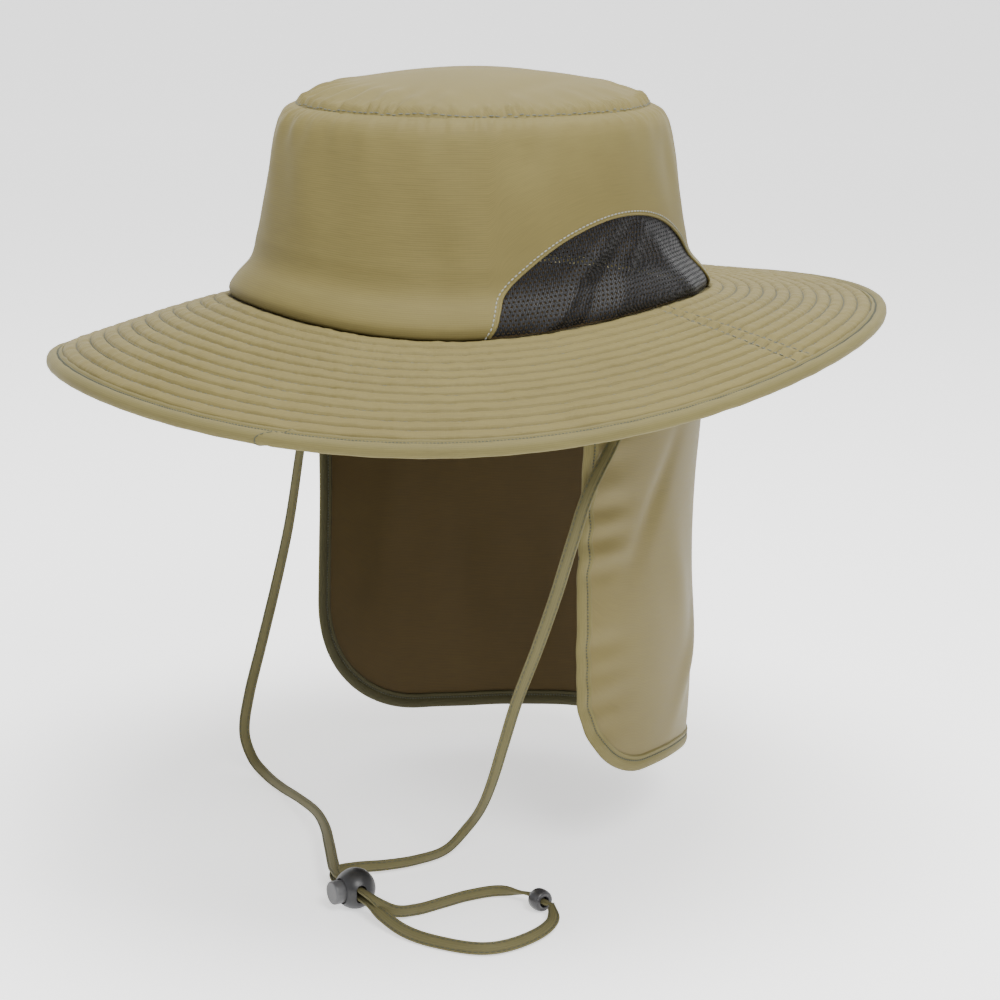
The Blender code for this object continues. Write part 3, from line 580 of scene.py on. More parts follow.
net_knit = net_material()
oval_turns = np.linspace(0.2, math.pi - 0.2, 2001)
oval_steps = np.linalg.norm(np.diff(oval(oval_turns, 0.93), axis=0), axis=1)
oval_lengths = np.concatenate([[0], np.cumsum(oval_steps)])
for side, word in ((1, "left"), (-1, "right")):
    columns = int(oval_lengths[-1] / NET_PITCH)
    rows = int((VENT_HEIGHT + NET_LAP + 0.008) / NET_ROW)
    row, column = np.meshgrid(np.arange(rows), np.arange(columns), indexing="ij")
    angle = np.interp((column + 0.5 * (row % 2)) * NET_PITCH, oval_lengths, oval_turns)
    angle = angle if side > 0 else 2 * math.pi - angle
    foot = seam_height(angle)
    height = row * NET_ROW / (CROWN_HEIGHT - foot)
    lift = np.full(height.shape, -NET_SINK)
    flat = crown_surface(angle, height)
    for fold in NET_FOLDS:
        away_from = flat[..., 1] - VENT_MIDDLE - fold["along"] - fold["slope"] * (flat[..., 2] - 0.012)
        fade = np.clip(1 - flat[..., 2] / arch_height(flat[..., 1]).clip(0.001), 0, 1)
        lift = lift + fold["rise"] * bump(away_from, fold["width"]) * np.minimum(1, 3 * fade)
    points = crown_surface(angle, height, lift)
    level = (flat[..., 2] < arch_height(flat[..., 1]) + NET_LAP) & (
        abs(flat[..., 1] - VENT_MIDDLE) < VENT_HALF_LENGTH + NET_LAP
    )
    index = row * columns + column
    triangles = []
    for r in range(rows - 1):
        low, high = index[r], index[r + 1]
        if r % 2 == 0:
            pairs = [(low[:-1], low[1:], high[:-1]), (low[1:], high[1:], high[:-1])]
        else:
            pairs = [(low[:-1], high[1:], high[:-1]), (low[:-1], low[1:], high[1:])]
        triangles += [np.stack(corners, -1) for corners in pairs]
    triangles = np.concatenate(triangles)
    triangles = triangles[level.ravel()[triangles].all(axis=1)]
    used, renamed = np.unique(triangles, return_inverse=True)
    lattice = bpy.data.meshes.new("net_lattice")
    lattice.from_pydata(points.reshape(-1, 3)[used].tolist(), [], renamed.reshape(-1, 3).tolist())
    source = bpy.data.objects.new("net_lattice", lattice)
    bpy.context.scene.collection.objects.link(source)
    net = grown("vent_net_" + word, source, {"Hole": NET_HOLE, "Material": net_knit}, net_nodes)
    thick = net.modifiers.new("wall", "SOLIDIFY")
    thick.thickness = NET_WALL
    thick.offset = 0
    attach(net, "hat")
    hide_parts("mesh_panel_" + word)

# Crown tip: an oval of the same cloth, cut flat and eased onto the side's top edge, so that it domes
# a little and puckers beside its seam. Grey-green stitches show in the seam.
TIP_RISE = 0.0121
TIP_ROUNDNESS = 0.7
TIP_CLOTH = 0.0009
TIP_COLUMNS = 420
TIP_ROWS = 56
TIP_SIZE = 0.730
TIP_TUCK = 0.012
TIP_FOLDS = (
    dict(across=-0.045, along=-0.050, turn=35, width=0.006, reach=0.030, rise=-0.0010),
    dict(across=0.020, along=-0.062, turn=80, width=0.007, reach=0.040, rise=0.0008),
    dict(across=0.040, along=-0.010, turn=15, width=0.009, reach=0.050, rise=-0.0009),
    dict(across=-0.020, along=0.030, turn=-30, width=0.010, reach=0.050, rise=0.0009),
)


def tip_surface(angle, share, drop=0.0):
    angle, share = np.broadcast_arrays(angle, share)
    point = oval(angle, TIP_SIZE * share)
    tuck = ((1 + TIP_TUCK - share) / (4 * TIP_TUCK)).clip(0, 1)
    rise = TIP_RISE * (1 - share**2).clip(0) ** TIP_ROUNDNESS - 0.0012 + 0.0022 * tuck * tuck * (3 - 2 * tuck)
    rise = rise + 0.0010 * ripple(angle, 90, 11) * bump(share - 0.96, 0.05)
    rise = rise + 0.0011 * ripple(angle, 23, 13) * bump(share - 0.86, 0.16)
    for row in TIP_FOLDS:
        turn = math.radians(row["turn"])
        x, y = point[..., 0] - row["across"], point[..., 1] - row["along"]
        across = x * math.cos(turn) + y * math.sin(turn)
        along = y * math.cos(turn) - x * math.sin(turn)
        rise = rise + row["rise"] * bump(across, row["width"]) * bump(along, row["reach"]) * (share < 1)
    point[..., 2] = CROWN_HEIGHT + rise - drop
    return point


tip_angles = np.linspace(0, 2 * math.pi, TIP_COLUMNS, endpoint=False)[:, None]
tip_shares = (1 + TIP_TUCK) * (1 - np.linspace(0, 1, TIP_ROWS) ** 1.5)[None, :]
crown_tip = wall(
    "crown_tip_cloth",
    tip_surface(tip_angles, tip_shares),
    tip_surface(tip_angles, tip_shares, TIP_CLOTH),
    True,
    cloth("crown_tip_weave", OLIVE_DARK, OLIVE_LIGHT),
    flat=True,
)
# Painted shade: the tip's underside takes the darker inside weave.
crown_tip.data.materials.append(painted_shade_inside_weave)
for face in crown_tip.data.polygons:
    if face.normal.z < 0:
        face.material_index = 1
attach(crown_tip, "hat")
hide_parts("crown_tip")
tip_row = tip_surface(np.linspace(0, 2 * math.pi, 600, endpoint=False), 0.992) + np.array([0, 0, 0.0002])
tip_stitches = stitches("tip_stitches", [tip_row], True, STITCH_PITCH, thread)

# Brim: two layers of the same cloth over a thin stiff filling, held together by rings of stitching,
# between which it puffs up in low ribs. It is joined by a radial seam on each side of the head.
BRIM_WIDTH = 0.0723
BRIM_WALL = 0.0024
BRIM_CURL = 1.15
BRIM_LAP = 0.0030
EDGE_FALL = (0.337, 0.402, 0.177, 0.039, 0.129, 0.334, 0.494, 0.347)
TAPE_WALL = 0.0010
TAPE_WIDTH = 0.0065
RIB_COUNT = 12
RIB_RISE = 0.0015
RIB_STEPS = 8
UNDER_STEPS = 3
BRIM_COLUMNS = 640
PUCKER = 0.0011
BRIM_SEAMS = (95, 263)
SEAM_RIDGE = 0.0005
GAP = 0.0003


def brim_surface(angle, out, up=0.0):
    """Points over the brim's upper face: out from the head oval, up from the face."""
    angle, out, up = np.broadcast_arrays(angle, out, up)
    share = ((out + BRIM_LAP) / (BRIM_WIDTH + BRIM_LAP)).clip(0)
    seam = seam_height(angle) - GAP
    edge = -BRIM_WIDTH * harmonic(EDGE_FALL, angle)
    point = oval(angle) + outward(angle) * out[..., None]
    point[..., 2] = seam + (edge - seam) * share**BRIM_CURL + up
    return point


def quilt_nodes(tree, given):
    """Lifts the cloth between rings of stitching. row counts the rings, puff is the lift's share."""
    row = node(tree, "GeometryNodeInputNamedAttribute", {"Name": "row"}, data_type="FLOAT").outputs[0]
    puff = node(tree, "GeometryNodeInputNamedAttribute", {"Name": "puff"}, data_type="FLOAT").outputs[0]
    arch = maths(tree, "SINE", maths(tree, "MULTIPLY", maths(tree, "FRACT", row), math.pi))
    arch = maths(tree, "POWER", maths(tree, "MAXIMUM", arch, 0.0), 0.42)
    place = node(tree, "GeometryNodeInputPosition").outputs[0]
    flat = node(tree, "ShaderNodeVectorMath", {0: place, 1: (1, 1, 0)}, operation="MULTIPLY").outputs[0]
    ring = node(tree, "ShaderNodeVectorMath", {0: flat}, operation="NORMALIZE").outputs[0]
    ring = node(tree, "ShaderNodeVectorMath", {0: ring, 3: 30.0}, operation="SCALE").outputs[0]
    level = node(tree, "ShaderNodeCombineXYZ", {2: maths(tree, "MULTIPLY", row, 0.9)}).outputs[0]
    ring = node(tree, "ShaderNodeVectorMath", {0: ring, 1: level}, operation="ADD").outputs[0]
    fine = node(tree, "ShaderNodeTexNoise", {"Vector": ring, "Scale": 1.0, "Detail": 1.0}).outputs["Fac"]
    broad = node(tree, "ShaderNodeTexNoise", {"Vector": place, "Scale": 45.0, "Detail": 1.0}).outputs["Fac"]
    fine = maths(tree, "MULTIPLY", maths(tree, "SUBTRACT", fine, 0.5), given["Pucker"])
    broad = maths(tree, "ADD", maths(tree, "MULTIPLY", broad, 0.6), 0.7)
    rise = maths(tree, "MULTIPLY", maths(tree, "MULTIPLY", arch, broad), given["Rise"])
    lift = maths(tree, "MULTIPLY", maths(tree, "ADD", rise, fine), puff)
    normal = node(tree, "GeometryNodeInputNormal").outputs[0]
    offset = node(tree, "ShaderNodeVectorMath", {0: normal, 3: lift}, operation="SCALE").outputs[0]
    return node(tree, "GeometryNodeSetPosition", {"Geometry": given["Geometry"], "Offset": offset}).outputs[0]


brim_angles = np.linspace(0, 2 * math.pi, BRIM_COLUMNS, endpoint=False)[:, None]
cloth_end = BRIM_WIDTH - TAPE_WALL - GAP
ribs_end = BRIM_WIDTH - TAPE_WIDTH - GAP
rib_pitch = ribs_end / RIB_COUNT
upper_out = np.concatenate(
    [[-BRIM_LAP], np.linspace(0, ribs_end, RIB_COUNT * RIB_STEPS + 1), np.linspace(ribs_end, cloth_end, 5)[1:]]
)
under_out = np.concatenate(
    [[-BRIM_LAP], np.linspace(0, ribs_end, RIB_COUNT * UNDER_STEPS + 1), np.linspace(ribs_end, cloth_end, 4)[1:]]
)
joins = sum(bump(turn_between(np.degrees(brim_angles), at), 0.55) for at in BRIM_SEAMS)
joins = joins - 0.7 * sum(bump(turn_between(np.degrees(brim_angles), at + 0.9), 0.5) for at in BRIM_SEAMS)
upper = brim_surface(brim_angles, upper_out[None, :], SEAM_RIDGE * joins)
under = brim_surface(brim_angles, under_out[None, :], -BRIM_WALL)
brim_weave = cloth("brim_weave", OLIVE_DARK, OLIVE_LIGHT, quilted=True)
quilt = wall("brim_layers", upper, under, True, None)
outs = np.concatenate([upper_out, under_out[::-1]])
puffs = np.concatenate([np.ones(len(upper_out)), np.full(len(under_out), 0.6)])
puffs[(outs < 0) | (outs > ribs_end - 1e-6)] = 0
sewn = sum(bump(turn_between(np.degrees(brim_angles), at + turn), 0.8) for at in BRIM_SEAMS for turn in (-1.6, 1.9))
puffs = puffs[None, :] * (1 - 0.8 * sewn)
for label, values in (("row", outs[None, :] / rib_pitch + 0 * brim_angles), ("puff", puffs)):
    attribute = quilt.data.attributes.new(label, "FLOAT", "POINT")
    spread = values.ravel()
    attribute.data.foreach_set("value", spread[: len(quilt.data.vertices)].astype(np.float32))
brim = grown(
    "brim_cloth_quilted", quilt, {"Rise": RIB_RISE, "Pucker": PUCKER, "Material": brim_weave}, quilt_nodes
)
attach(brim, "hat")
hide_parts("brim")

ring = np.linspace(0, 2 * math.pi, 900, endpoint=False)
ring_thread = plain_cloth("ring_thread", (0.060, 0.064, 0.045), (0.110, 0.115, 0.082))
stitch_rings = [brim_surface(ring, k * rib_pitch, 0.00020) for k in range(1, RIB_COUNT + 1)]
brim_stitches = stitches("brim_stitches", stitch_rings, True, STITCH_PITCH, ring_thread, 0.0003)
under_rings = [brim_surface(ring, k * rib_pitch, -BRIM_WALL - 0.0001) for k in range(1, RIB_COUNT + 1)]
under_stitches = stitches("brim_under_stitches", under_rings, True, 0.0034, thread)
seam_rows = []
for at in BRIM_SEAMS:
    for turn in (-1.6, 1.9):
        out = np.linspace(0.001, ribs_end, 60)
        puffed = 0.25 * RIB_RISE * np.abs(np.sin(math.pi * out / rib_pitch)) ** 0.42 + 0.0002
        seam_rows.append(brim_surface(np.full(60, math.radians(at + turn)), out, puffed))
seam_stitches = stitches("brim_seam_stitches", seam_rows, False, STITCH_PITCH, thread)

# Brim tape: a bias tape folded over the brim's edge and stitched through close to its inner edge. Its
# two ends meet in a slanting join left of the front.
TAPE_SECTION = (
    (-0.0054, 0.0002), (-0.0052, 0.0009), (-0.0047, 0.0012), (-0.0041, 0.0009), (-0.0035, 0.0001),
    (-0.0029, 0.0009), (-0.0019, 0.0015), (-0.0006, 0.0015), (0.0004, 0.0010), (0.0009, 0.0002),
    (0.0010, -0.0010), (0.0008, -0.0019), (0.0002, -0.0026), (-0.0008, -0.0029), (-0.0022, -0.0030),
    (-0.0032, -0.0025), (-0.0040, -0.0029), (-0.0048, -0.0029), (-0.0052, -0.0024), (-0.0052, -0.0012),
)
TAPE_JOIN = 19.6
TAPE_JOIN_LEAN = -2.0
TAPE_DARK = (0.085, 0.070, 0.023)
TAPE_LIGHT = (0.160, 0.137, 0.050)


def tape_rings(edge, along, upward, waves):
    """Rings of the tape's section round the cloth's edge."""
    rings = []
    for out, up in TAPE_SECTION:
        swell = 1 + 0.03 * waves
        rings.append(edge + along * (out * swell)[:, None] + upward * (up * swell)[:, None])
    return np.stack(rings, axis=1)


tape_angles = np.linspace(0, 2 * math.pi, 720, endpoint=False)
tape_edge = brim_surface(tape_angles, cloth_end)
tape_along = tape_edge - brim_surface(tape_angles, BRIM_WIDTH - TAPE_WIDTH)
tape_along /= np.linalg.norm(tape_along[:, :2], axis=1, keepdims=True)
straight_up = np.tile([0.0, 0.0, 1.0], (len(tape_angles), 1))
rings = tape_rings(tape_edge, tape_along, straight_up, ripple(tape_angles, 60, 21))
for k, (out, up) in enumerate(TAPE_SECTION):
    lean = turn_between(np.degrees(tape_angles), TAPE_JOIN + TAPE_JOIN_LEAN * (out + 0.0022) / 0.003)
    step = 0.0004 * (bump(lean, 0.5) - 0.9 * bump(lean - 0.8, 0.4))
    rings[:, k] += straight_up * (step * (1 if up > -0.001 else -1))[:, None]
half = len(TAPE_SECTION) // 2
tape_cloth = cloth("tape_weave", TAPE_DARK, TAPE_LIGHT, relief=0.00004)
brim_tape = wall("brim_tape", rings[:, :half], rings[:, :half - 1:-1], True, tape_cloth)
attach(brim_tape, "hat")
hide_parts("brim_binding")
dark_thread = plain_cloth("dark_thread", (0.035, 0.038, 0.025), (0.075, 0.078, 0.052))
# Two close rows of dark stitches in the tape's groove: the stitching is real, and laying it double into a dark band
# paints the groove's shadow.
tape_lines = [tape_edge + tape_along * out + straight_up * 0.0004 for out in (-0.0037, -0.0033)]
tape_stitches_groove_shade = stitches("brim_tape_stitches_groove_shade", tape_lines, True, 0.0013, dark_thread, 0.0004)
join_line = []
for out, up in TAPE_SECTION[:13]:
    at = math.radians(TAPE_JOIN + TAPE_JOIN_LEAN * (out + 0.0022) / 0.003)
    edge, inner = brim_surface(at, cloth_end), brim_surface(at, BRIM_WIDTH - TAPE_WIDTH)
    outwards = (edge - inner) / np.linalg.norm((edge - inner)[:2])
    join_line.append(edge + outwards * (out * 1.02) + np.array([0, 0, up * 1.02]))
tape_join = tube_mesh("tape_join", np.array(join_line), 0.00022, dark_thread)
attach(tape_join, "hat")

# Neck flap: one layer of light cloth that hangs from the head opening round the sides and back, with
# round front corners. It falls in soft folds and puckers beside its tape.
FLAP_LENGTH = 0.2085
FLAP_CORNERS = (0.0420, 0.0560)
FLAP_CLOTH = 0.0006
FLAP_FRONTS = (73.5, 271.5)
FLAP_HEM = ((70, 0.890), (114, 0.910), (140, 0.945), (180, 0.980), (225, 1.000), (275, 0.985))
FLAP_HANG = (
    (0.00, 0.016), (0.25, 0.022), (0.36, 0.038), (0.47, 0.044), (0.60, 0.038), (0.74, 0.032),
    (0.86, 0.037), (1.00, 0.062),
)
FLAP_FOLDS = (
    dict(angle=98, half_angle=5, depth=0.36, reach=0.16, lean=-10, rise=-0.0019),
    dict(angle=112, half_angle=9, depth=0.55, reach=0.20, lean=8, rise=0.0015),
    dict(angle=122, half_angle=7, depth=0.72, reach=0.13, lean=-12, rise=0.0019),
    dict(angle=152, half_angle=9, depth=0.75, reach=0.40, lean=0, rise=0.0021),
    dict(angle=176, half_angle=9, depth=0.80, reach=0.40, lean=4, rise=-0.0021),
    dict(angle=201, half_angle=10, depth=0.75, reach=0.40, lean=-4, rise=0.0021),
    dict(angle=228, half_angle=10, depth=0.80, reach=0.40, lean=0, rise=-0.0017),
    dict(angle=250, half_angle=8, depth=0.60, reach=0.30, lean=6, rise=0.0015),
)
flap_first, flap_last = (math.radians(at) for at in FLAP_FRONTS)
flap_turns = np.linspace(flap_first - 0.1, flap_last + 0.1, 2000)
flap_lengths = np.concatenate([[0], np.cumsum(np.linalg.norm(np.diff(oval(flap_turns), axis=0), axis=1))])
flap_lengths -= np.interp(flap_first, flap_turns, flap_lengths)
FLAP_SPAN = float(np.interp(flap_last, flap_turns, flap_lengths))


def flap_angle(along):
    return np.interp(along, flap_lengths, flap_turns)


def flap_top(along):
    inset = eased(FLAP_HANG, 0.0) * HALF_WIDTH
    return brim_surface(flap_angle(along), 0.0018 - inset)[..., 2] - BRIM_WALL - GAP


def flap_hem(along, inset=0.0):
    """The hem's height, with a round corner at each front edge."""
    low = -FLAP_LENGTH * eased(FLAP_HEM, np.degrees(flap_angle(along))) + inset
    radius = np.where(along < FLAP_SPAN / 2, *FLAP_CORNERS) - inset
    short = (radius - (np.minimum(along, FLAP_SPAN - along) - inset)).clip(0)
    return np.where(short > 0, low + radius - np.sqrt((radius**2 - short**2).clip(0)), low)


def flap_surface(along, height, lift=0.0):
    """Points on the middle of the flap's cloth: along its width, at a height, lifted outwards."""
    along, height, lift = np.broadcast_arrays(along, height, lift)
    angle = flap_angle(along)
    depth = (-height / FLAP_LENGTH).clip(0, 1)
    out = lift - HALF_WIDTH * eased(FLAP_HANG, depth)
    for row in FLAP_FOLDS:
        middle = row["angle"] + row["lean"] * (depth - row["depth"]) / row["reach"]
        turn = turn_between(np.degrees(angle), middle)
        out = out + row["rise"] * bump(turn, row["half_angle"]) * bump(depth - row["depth"], row["reach"])
    pucker = ripple(-height * 2 * math.pi / 0.2, 13, 31) * bump(along - 0.012, 0.018)
    out = out + 0.0010 * pucker * (depth > 0.1)
    point = oval(angle) + outward(angle) * out[..., None]
    point[..., 2] = height
    return point


def flap_normal(along, height, step=0.0004):
    across = flap_surface(along + step, height) - flap_surface(along - step, height)
    upward = flap_surface(along, height + step) - flap_surface(along, height - step)
    normal = np.cross(across, upward)
    return normal / np.linalg.norm(normal, axis=-1, keepdims=True)


flap_inset = GAP + TAPE_WALL
corner_turns = np.linspace(0, math.pi / 2, 25)[:-1]
left, right = (flap_inset + (corner - flap_inset) * (1 - np.cos(corner_turns)) for corner in FLAP_CORNERS)
middle_columns = np.linspace(FLAP_CORNERS[0], FLAP_SPAN - FLAP_CORNERS[1], 150)
columns = np.concatenate([left, middle_columns, FLAP_SPAN - right[::-1]])[:, None]
shares = np.linspace(0, 1, 130)[None, :]
heights = flap_top(columns) + (flap_hem(columns, flap_inset) - flap_top(columns)) * shares
middle_points, normals = flap_surface(columns, heights), flap_normal(columns, heights)
flap_weave = cloth("flap_weave", (0.088, 0.068, 0.021), (0.165, 0.134, 0.046), relief=0.00004, roughness=0.6)
flap = wall(
    "neck_flap_cloth",
    middle_points + normals * FLAP_CLOTH / 2,
    middle_points - normals * FLAP_CLOTH / 2,
    False,
    flap_weave,
)
# Painted shade: the flap's inner face takes the darker inside weave, standing in for the shadow behind it.
flap.data.materials.append(painted_shade_inside_weave)
for face in flap.data.polygons:
    if face.normal.x * face.center.x + face.normal.y * face.center.y < 0:
        face.material_index = 1
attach(flap, "hat")
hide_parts("neck_flap")

# Flap tape: the same bias tape, folded over the flap's front edges, round corners and hem, with one row of dark
# stitches sunk in a groove near its inner edge on each face. The stitching is real, and its dense dark line also
# paints the groove's shadow.
FLAP_TAPE_SECTION = (
    (-0.0056, 0.0003), (-0.0054, 0.0009), (-0.0048, 0.0011), (-0.0040, 0.0008), (-0.0034, 0.0006),
    (-0.0028, 0.0010), (-0.0018, 0.0013), (-0.0006, 0.0013), (0.0005, 0.0010), (0.0012, 0.0003),
    (0.0012, -0.0003), (0.0005, -0.0010), (-0.0006, -0.0013), (-0.0018, -0.0013), (-0.0028, -0.0010),
    (-0.0034, -0.0006), (-0.0040, -0.0008), (-0.0048, -0.0011), (-0.0054, -0.0009), (-0.0056, -0.0003),
)
FLAP_TAPE_STEP = 0.0015
fine_corner = np.linspace(0, math.pi / 2, 45)[:-1]
left, right = (flap_inset + (corner - flap_inset) * (1 - np.cos(fine_corner)) for corner in FLAP_CORNERS)
middle_along = np.linspace(FLAP_CORNERS[0], FLAP_SPAN - FLAP_CORNERS[1], 170)
hem_along = np.concatenate([left, middle_along, FLAP_SPAN - right[::-1]])
hem_line = np.column_stack([hem_along, flap_hem(hem_along, flap_inset)])


def side_line(along):
    top, foot = float(flap_top(along)), float(flap_hem(along, flap_inset))
    heights = np.arange(top - 0.0005, foot + FLAP_TAPE_STEP / 2, -FLAP_TAPE_STEP)
    return np.column_stack([np.full(len(heights), along), heights])


border = np.concatenate(
    [side_line(flap_inset), hem_line, side_line(FLAP_SPAN - flap_inset)[::-1]]
)
run = np.gradient(border, axis=0)
run /= np.linalg.norm(run, axis=1, keepdims=True)
rings = []
for out, up in FLAP_TAPE_SECTION:
    along = border[:, 0] + run[:, 1] * out
    height = border[:, 1] - run[:, 0] * out
    rings.append(flap_surface(along, height) + flap_normal(along, height) * up)
rings = np.stack(rings, axis=1)
flap_tape = wall("flap_tape", rings[:, :half], rings[:, :half - 1:-1], False, tape_cloth)
# Painted shade: the tape's inward faces get a darker plain cloth, standing in for the shadow inside the flap.
flap_tape.data.materials.append(plain_cloth("tape_inside_painted_shade", (0.030, 0.027, 0.009), (0.055, 0.049, 0.018)))
for face in flap_tape.data.polygons:
    if face.normal.x * face.center.x + face.normal.y * face.center.y < 0:
        face.material_index = 1
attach(flap_tape, "hat")
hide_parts("flap_binding")
# Dense dark stitches in the tape's groove: real stitching that also paints the groove's shadow.
flap_rows = []
for face in (1, -1):
    along, height = border[:, 0] - run[:, 1] * 0.0034, border[:, 1] + run[:, 0] * 0.0034
    flap_rows.append(flap_surface(along, height) + flap_normal(along, height) * face * 0.0007)
flap_stitches_groove_shade = stitches("flap_tape_stitches_groove_shade", flap_rows, False, 0.0013, dark_thread, 0.0004)

# Chin strap: one flat strap of folded cloth, stitched along both edges. It hangs from both sides of
# the head opening, runs twice through the lock and makes a loop with a bead on it, on the floor.
CORD_DIAMETER = 0.0030
STRAP_WIDTH = 0.0050
STRAP_HALF_THICKNESS = 0.0007
LOCK_PLACE = (41.2, -107.7, -217.0)
LOCK_TURN = -15
LOCK_RADIUS = 0.0080
CHANNEL_SHIFT = 0.0012
BEAD_PLACE = (95.0, -60.2, -220.4)
BEAD_TURN = -12
BEAD_LENGTH = 0.0060
RIGHT_STRAND = (
    (-94.2, -3.2, -34), (-94.4, -4.6, -62), (-96.4, -7.4, -88), (-98, -11.5, -114.5),
    (-101, -16.7, -141.5), (-104.4, -22.7, -169), (-107, -28, -192), (-106.6, -31.2, -208),
    (-101, -32, -218), (-88.5, -35.6, -221.8), (-70, -43, -221.4), (-50, -51.5, -219),
    (-29, -61.5, -216.8), (-11, -73.5, -215.6), (5, -86.5, -215.2),
)
FAR_LOOP = (
    (62.2, -108.8, -219.6), (64.6, -98, -222), (66.6, -85, -222.4), (69.2, -73.5, -222.2),
    (75.6, -62.6, -221.6),
)
NEAR_LOOP = (
    (110.4, -71, -221.8), (113, -88, -222.4), (108.6, -104.4, -222.4), (95, -112.4, -222.4),
    (76, -115.8, -221.8),
)
LEFT_STRAND = (
    (19.6, -96, -219.8), (20.4, -86.5, -220.6), (26.4, -75.5, -221), (31.4, -63, -221),
    (33.2, -48, -220.4), (34.6, -37.4, -214), (43, -38, -203), (53, -42.6, -188),
    (61.6, -46, -170), (68, -45.2, -149.5), (75, -41.6, -127), (81, -38.6, -106),
    (87, -36, -83), (90, -30.6, -64), (91.6, -17.6, -45), (93.4, -7.6, -28),
)
CORD_ATTACH_OUT = 0.0030
STRAP_TURNS = ((0.00, 60), (0.10, 35), (0.22, 10), (0.30, 25), (0.36, 5), (0.47, 20), (0.56, 30),
               (0.66, 5), (0.74, 40), (0.82, 20), (0.92, -10), (1.00, -50))


def turned_axis(degrees):
    return Vector((math.cos(math.radians(degrees)), math.sin(math.radians(degrees)), 0))


def straight_run(middle, direction, reach, rise):
    return [middle + direction * share * reach + Vector((0, 0, rise)) for share in (-1.6, -1.0, 0.0, 1.0, 1.6)]


def strap_end(side):
    """Where the strap meets the brim's underside, beside the flap."""
    angle = side * math.pi / 2
    under = min(brim_surface(angle, CORD_ATTACH_OUT + step)[2] for step in (-0.0015, 0.0015))
    point = Vector(oval(angle) + outward(angle) * CORD_ATTACH_OUT)
    point.z = under - BRIM_WALL - 2 * GAP
    return point


def metres(points):
    return [Vector(point) / 1000 for point in points]


lock_place, lock_line = Vector(LOCK_PLACE) / 1000, turned_axis(LOCK_TURN)
lock_out = Matrix.Rotation(math.radians(LOCK_TURN), 3, "Z") @ Vector((0, -1, 0))
lock_middle = lock_place + lock_out * CHANNEL_SHIFT
bead_place, bead_line = Vector(BEAD_PLACE) / 1000, turned_axis(BEAD_TURN)
rise = (CORD_DIAMETER + GAP) / 2
through = [straight_run(lock_middle, lock_line, LOCK_RADIUS, up) for up in (rise, -rise)]
at_bead = straight_run(bead_place, bead_line, BEAD_LENGTH / 2 + CORD_DIAMETER / 2, 0)
route = [strap_end(-1)] + metres(RIGHT_STRAND) + through[0] + metres(FAR_LOOP) + at_bead
route += metres(NEAR_LOOP) + through[1][::-1] + metres(LEFT_STRAND) + [strap_end(1)]

lengths = [(b - a).length for a, b in zip(route, route[1:])]
padded_route = [2 * route[0] - route[1]] + route + [2 * route[-1] - route[-2]]
strap_points = [route[0]]
for i, length in enumerate(lengths):
    before, start, end, after = padded_route[i:i + 4]
    leave = (end - before) * length / max((end - before).length, length)
    arrive = (after - start) * length / max((after - start).length, length)
    count = max(2, round(length / 0.0012))
    for k in range(1, count + 1):
        t = k / count
        point = start * (2 * t**3 - 3 * t**2 + 1) + leave * (t**3 - 2 * t**2 + t)
        strap_points.append(point + end * (3 * t**2 - 2 * t**3) + arrive * (t**3 - t**2))
path = np.array(strap_points)
tangent = np.gradient(path, axis=0)
tangent /= np.linalg.norm(tangent, axis=1, keepdims=True)
passed = np.concatenate([[0], np.cumsum(np.linalg.norm(np.diff(path, axis=0), axis=1))])
STRAP_LENGTH = float(passed[-1])
squeezed = np.zeros(len(path))
for middle, reach in ((lock_middle, 0.012), (bead_place, 0.007)):
    far = np.linalg.norm(path - np.array(middle), axis=1)
    squeezed = np.maximum(squeezed, 1 - ((far - reach) / 0.010).clip(0, 1))
squeezed = squeezed * squeezed * (3 - 2 * squeezed)
facing = np.cross(tangent, np.array(CAMERA_BACK))
facing /= np.linalg.norm(facing, axis=1, keepdims=True)
side_on = np.cross(tangent, facing)
turn = np.radians(eased(STRAP_TURNS, passed / STRAP_LENGTH))[:, None]
width_way = facing * np.cos(turn) + side_on * np.sin(turn)
level_way = np.cross(tangent, [0.0, 0.0, 1.0])
level_way /= np.linalg.norm(level_way, axis=1, keepdims=True)
level_way *= np.sign((level_way * width_way).sum(axis=1, keepdims=True))
width_way = width_way * (1 - squeezed)[:, None] + level_way * squeezed[:, None]
for _ in range(30):
    width_way[1:-1] = (width_way[:-2] + 2 * width_way[1:-1] + width_way[2:]) / 4
width_way -= tangent * (width_way * tangent).sum(axis=1, keepdims=True)
width_way /= np.linalg.norm(width_way, axis=1, keepdims=True)
thick_way = np.cross(tangent, width_way)
half_width = STRAP_WIDTH / 2 * (1 - 0.38 * squeezed)
places = np.array([-1.0, -0.94, -0.80, -0.66, -0.50, -0.20, 0.20, 0.50, 0.66, 0.80, 0.94, 1.0])
fullness = np.sqrt((1 - np.abs(places) ** 7).clip(0)) - 0.55 * bump(np.abs(places) - 0.66, 0.10)
upper = path[:, None] + width_way[:, None] * (places[None, :] * half_width[:, None])[..., None]
thick = thick_way[:, None] * (fullness[None, :, None] * STRAP_HALF_THICKNESS)
strap_weave = cloth(
    "strap_weave", (0.066, 0.058, 0.022), (0.135, 0.120, 0.052), weft=0.0008, relief=0.00007, roughness=0.7
)
strap = wall("chin_strap", upper + thick, upper - thick, False, strap_weave)
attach(strap, "hat")
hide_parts("chin_cord")
strap_rows = []
for edge in (-0.66, 0.66):
    for face in (1, -1):
        line = path + width_way * (edge * half_width)[:, None]
        strap_rows.append(line + thick_way * face * STRAP_HALF_THICKNESS * 0.55)
strap_stitches = stitches("strap_stitches", strap_rows, False, 0.0022, dark_thread)

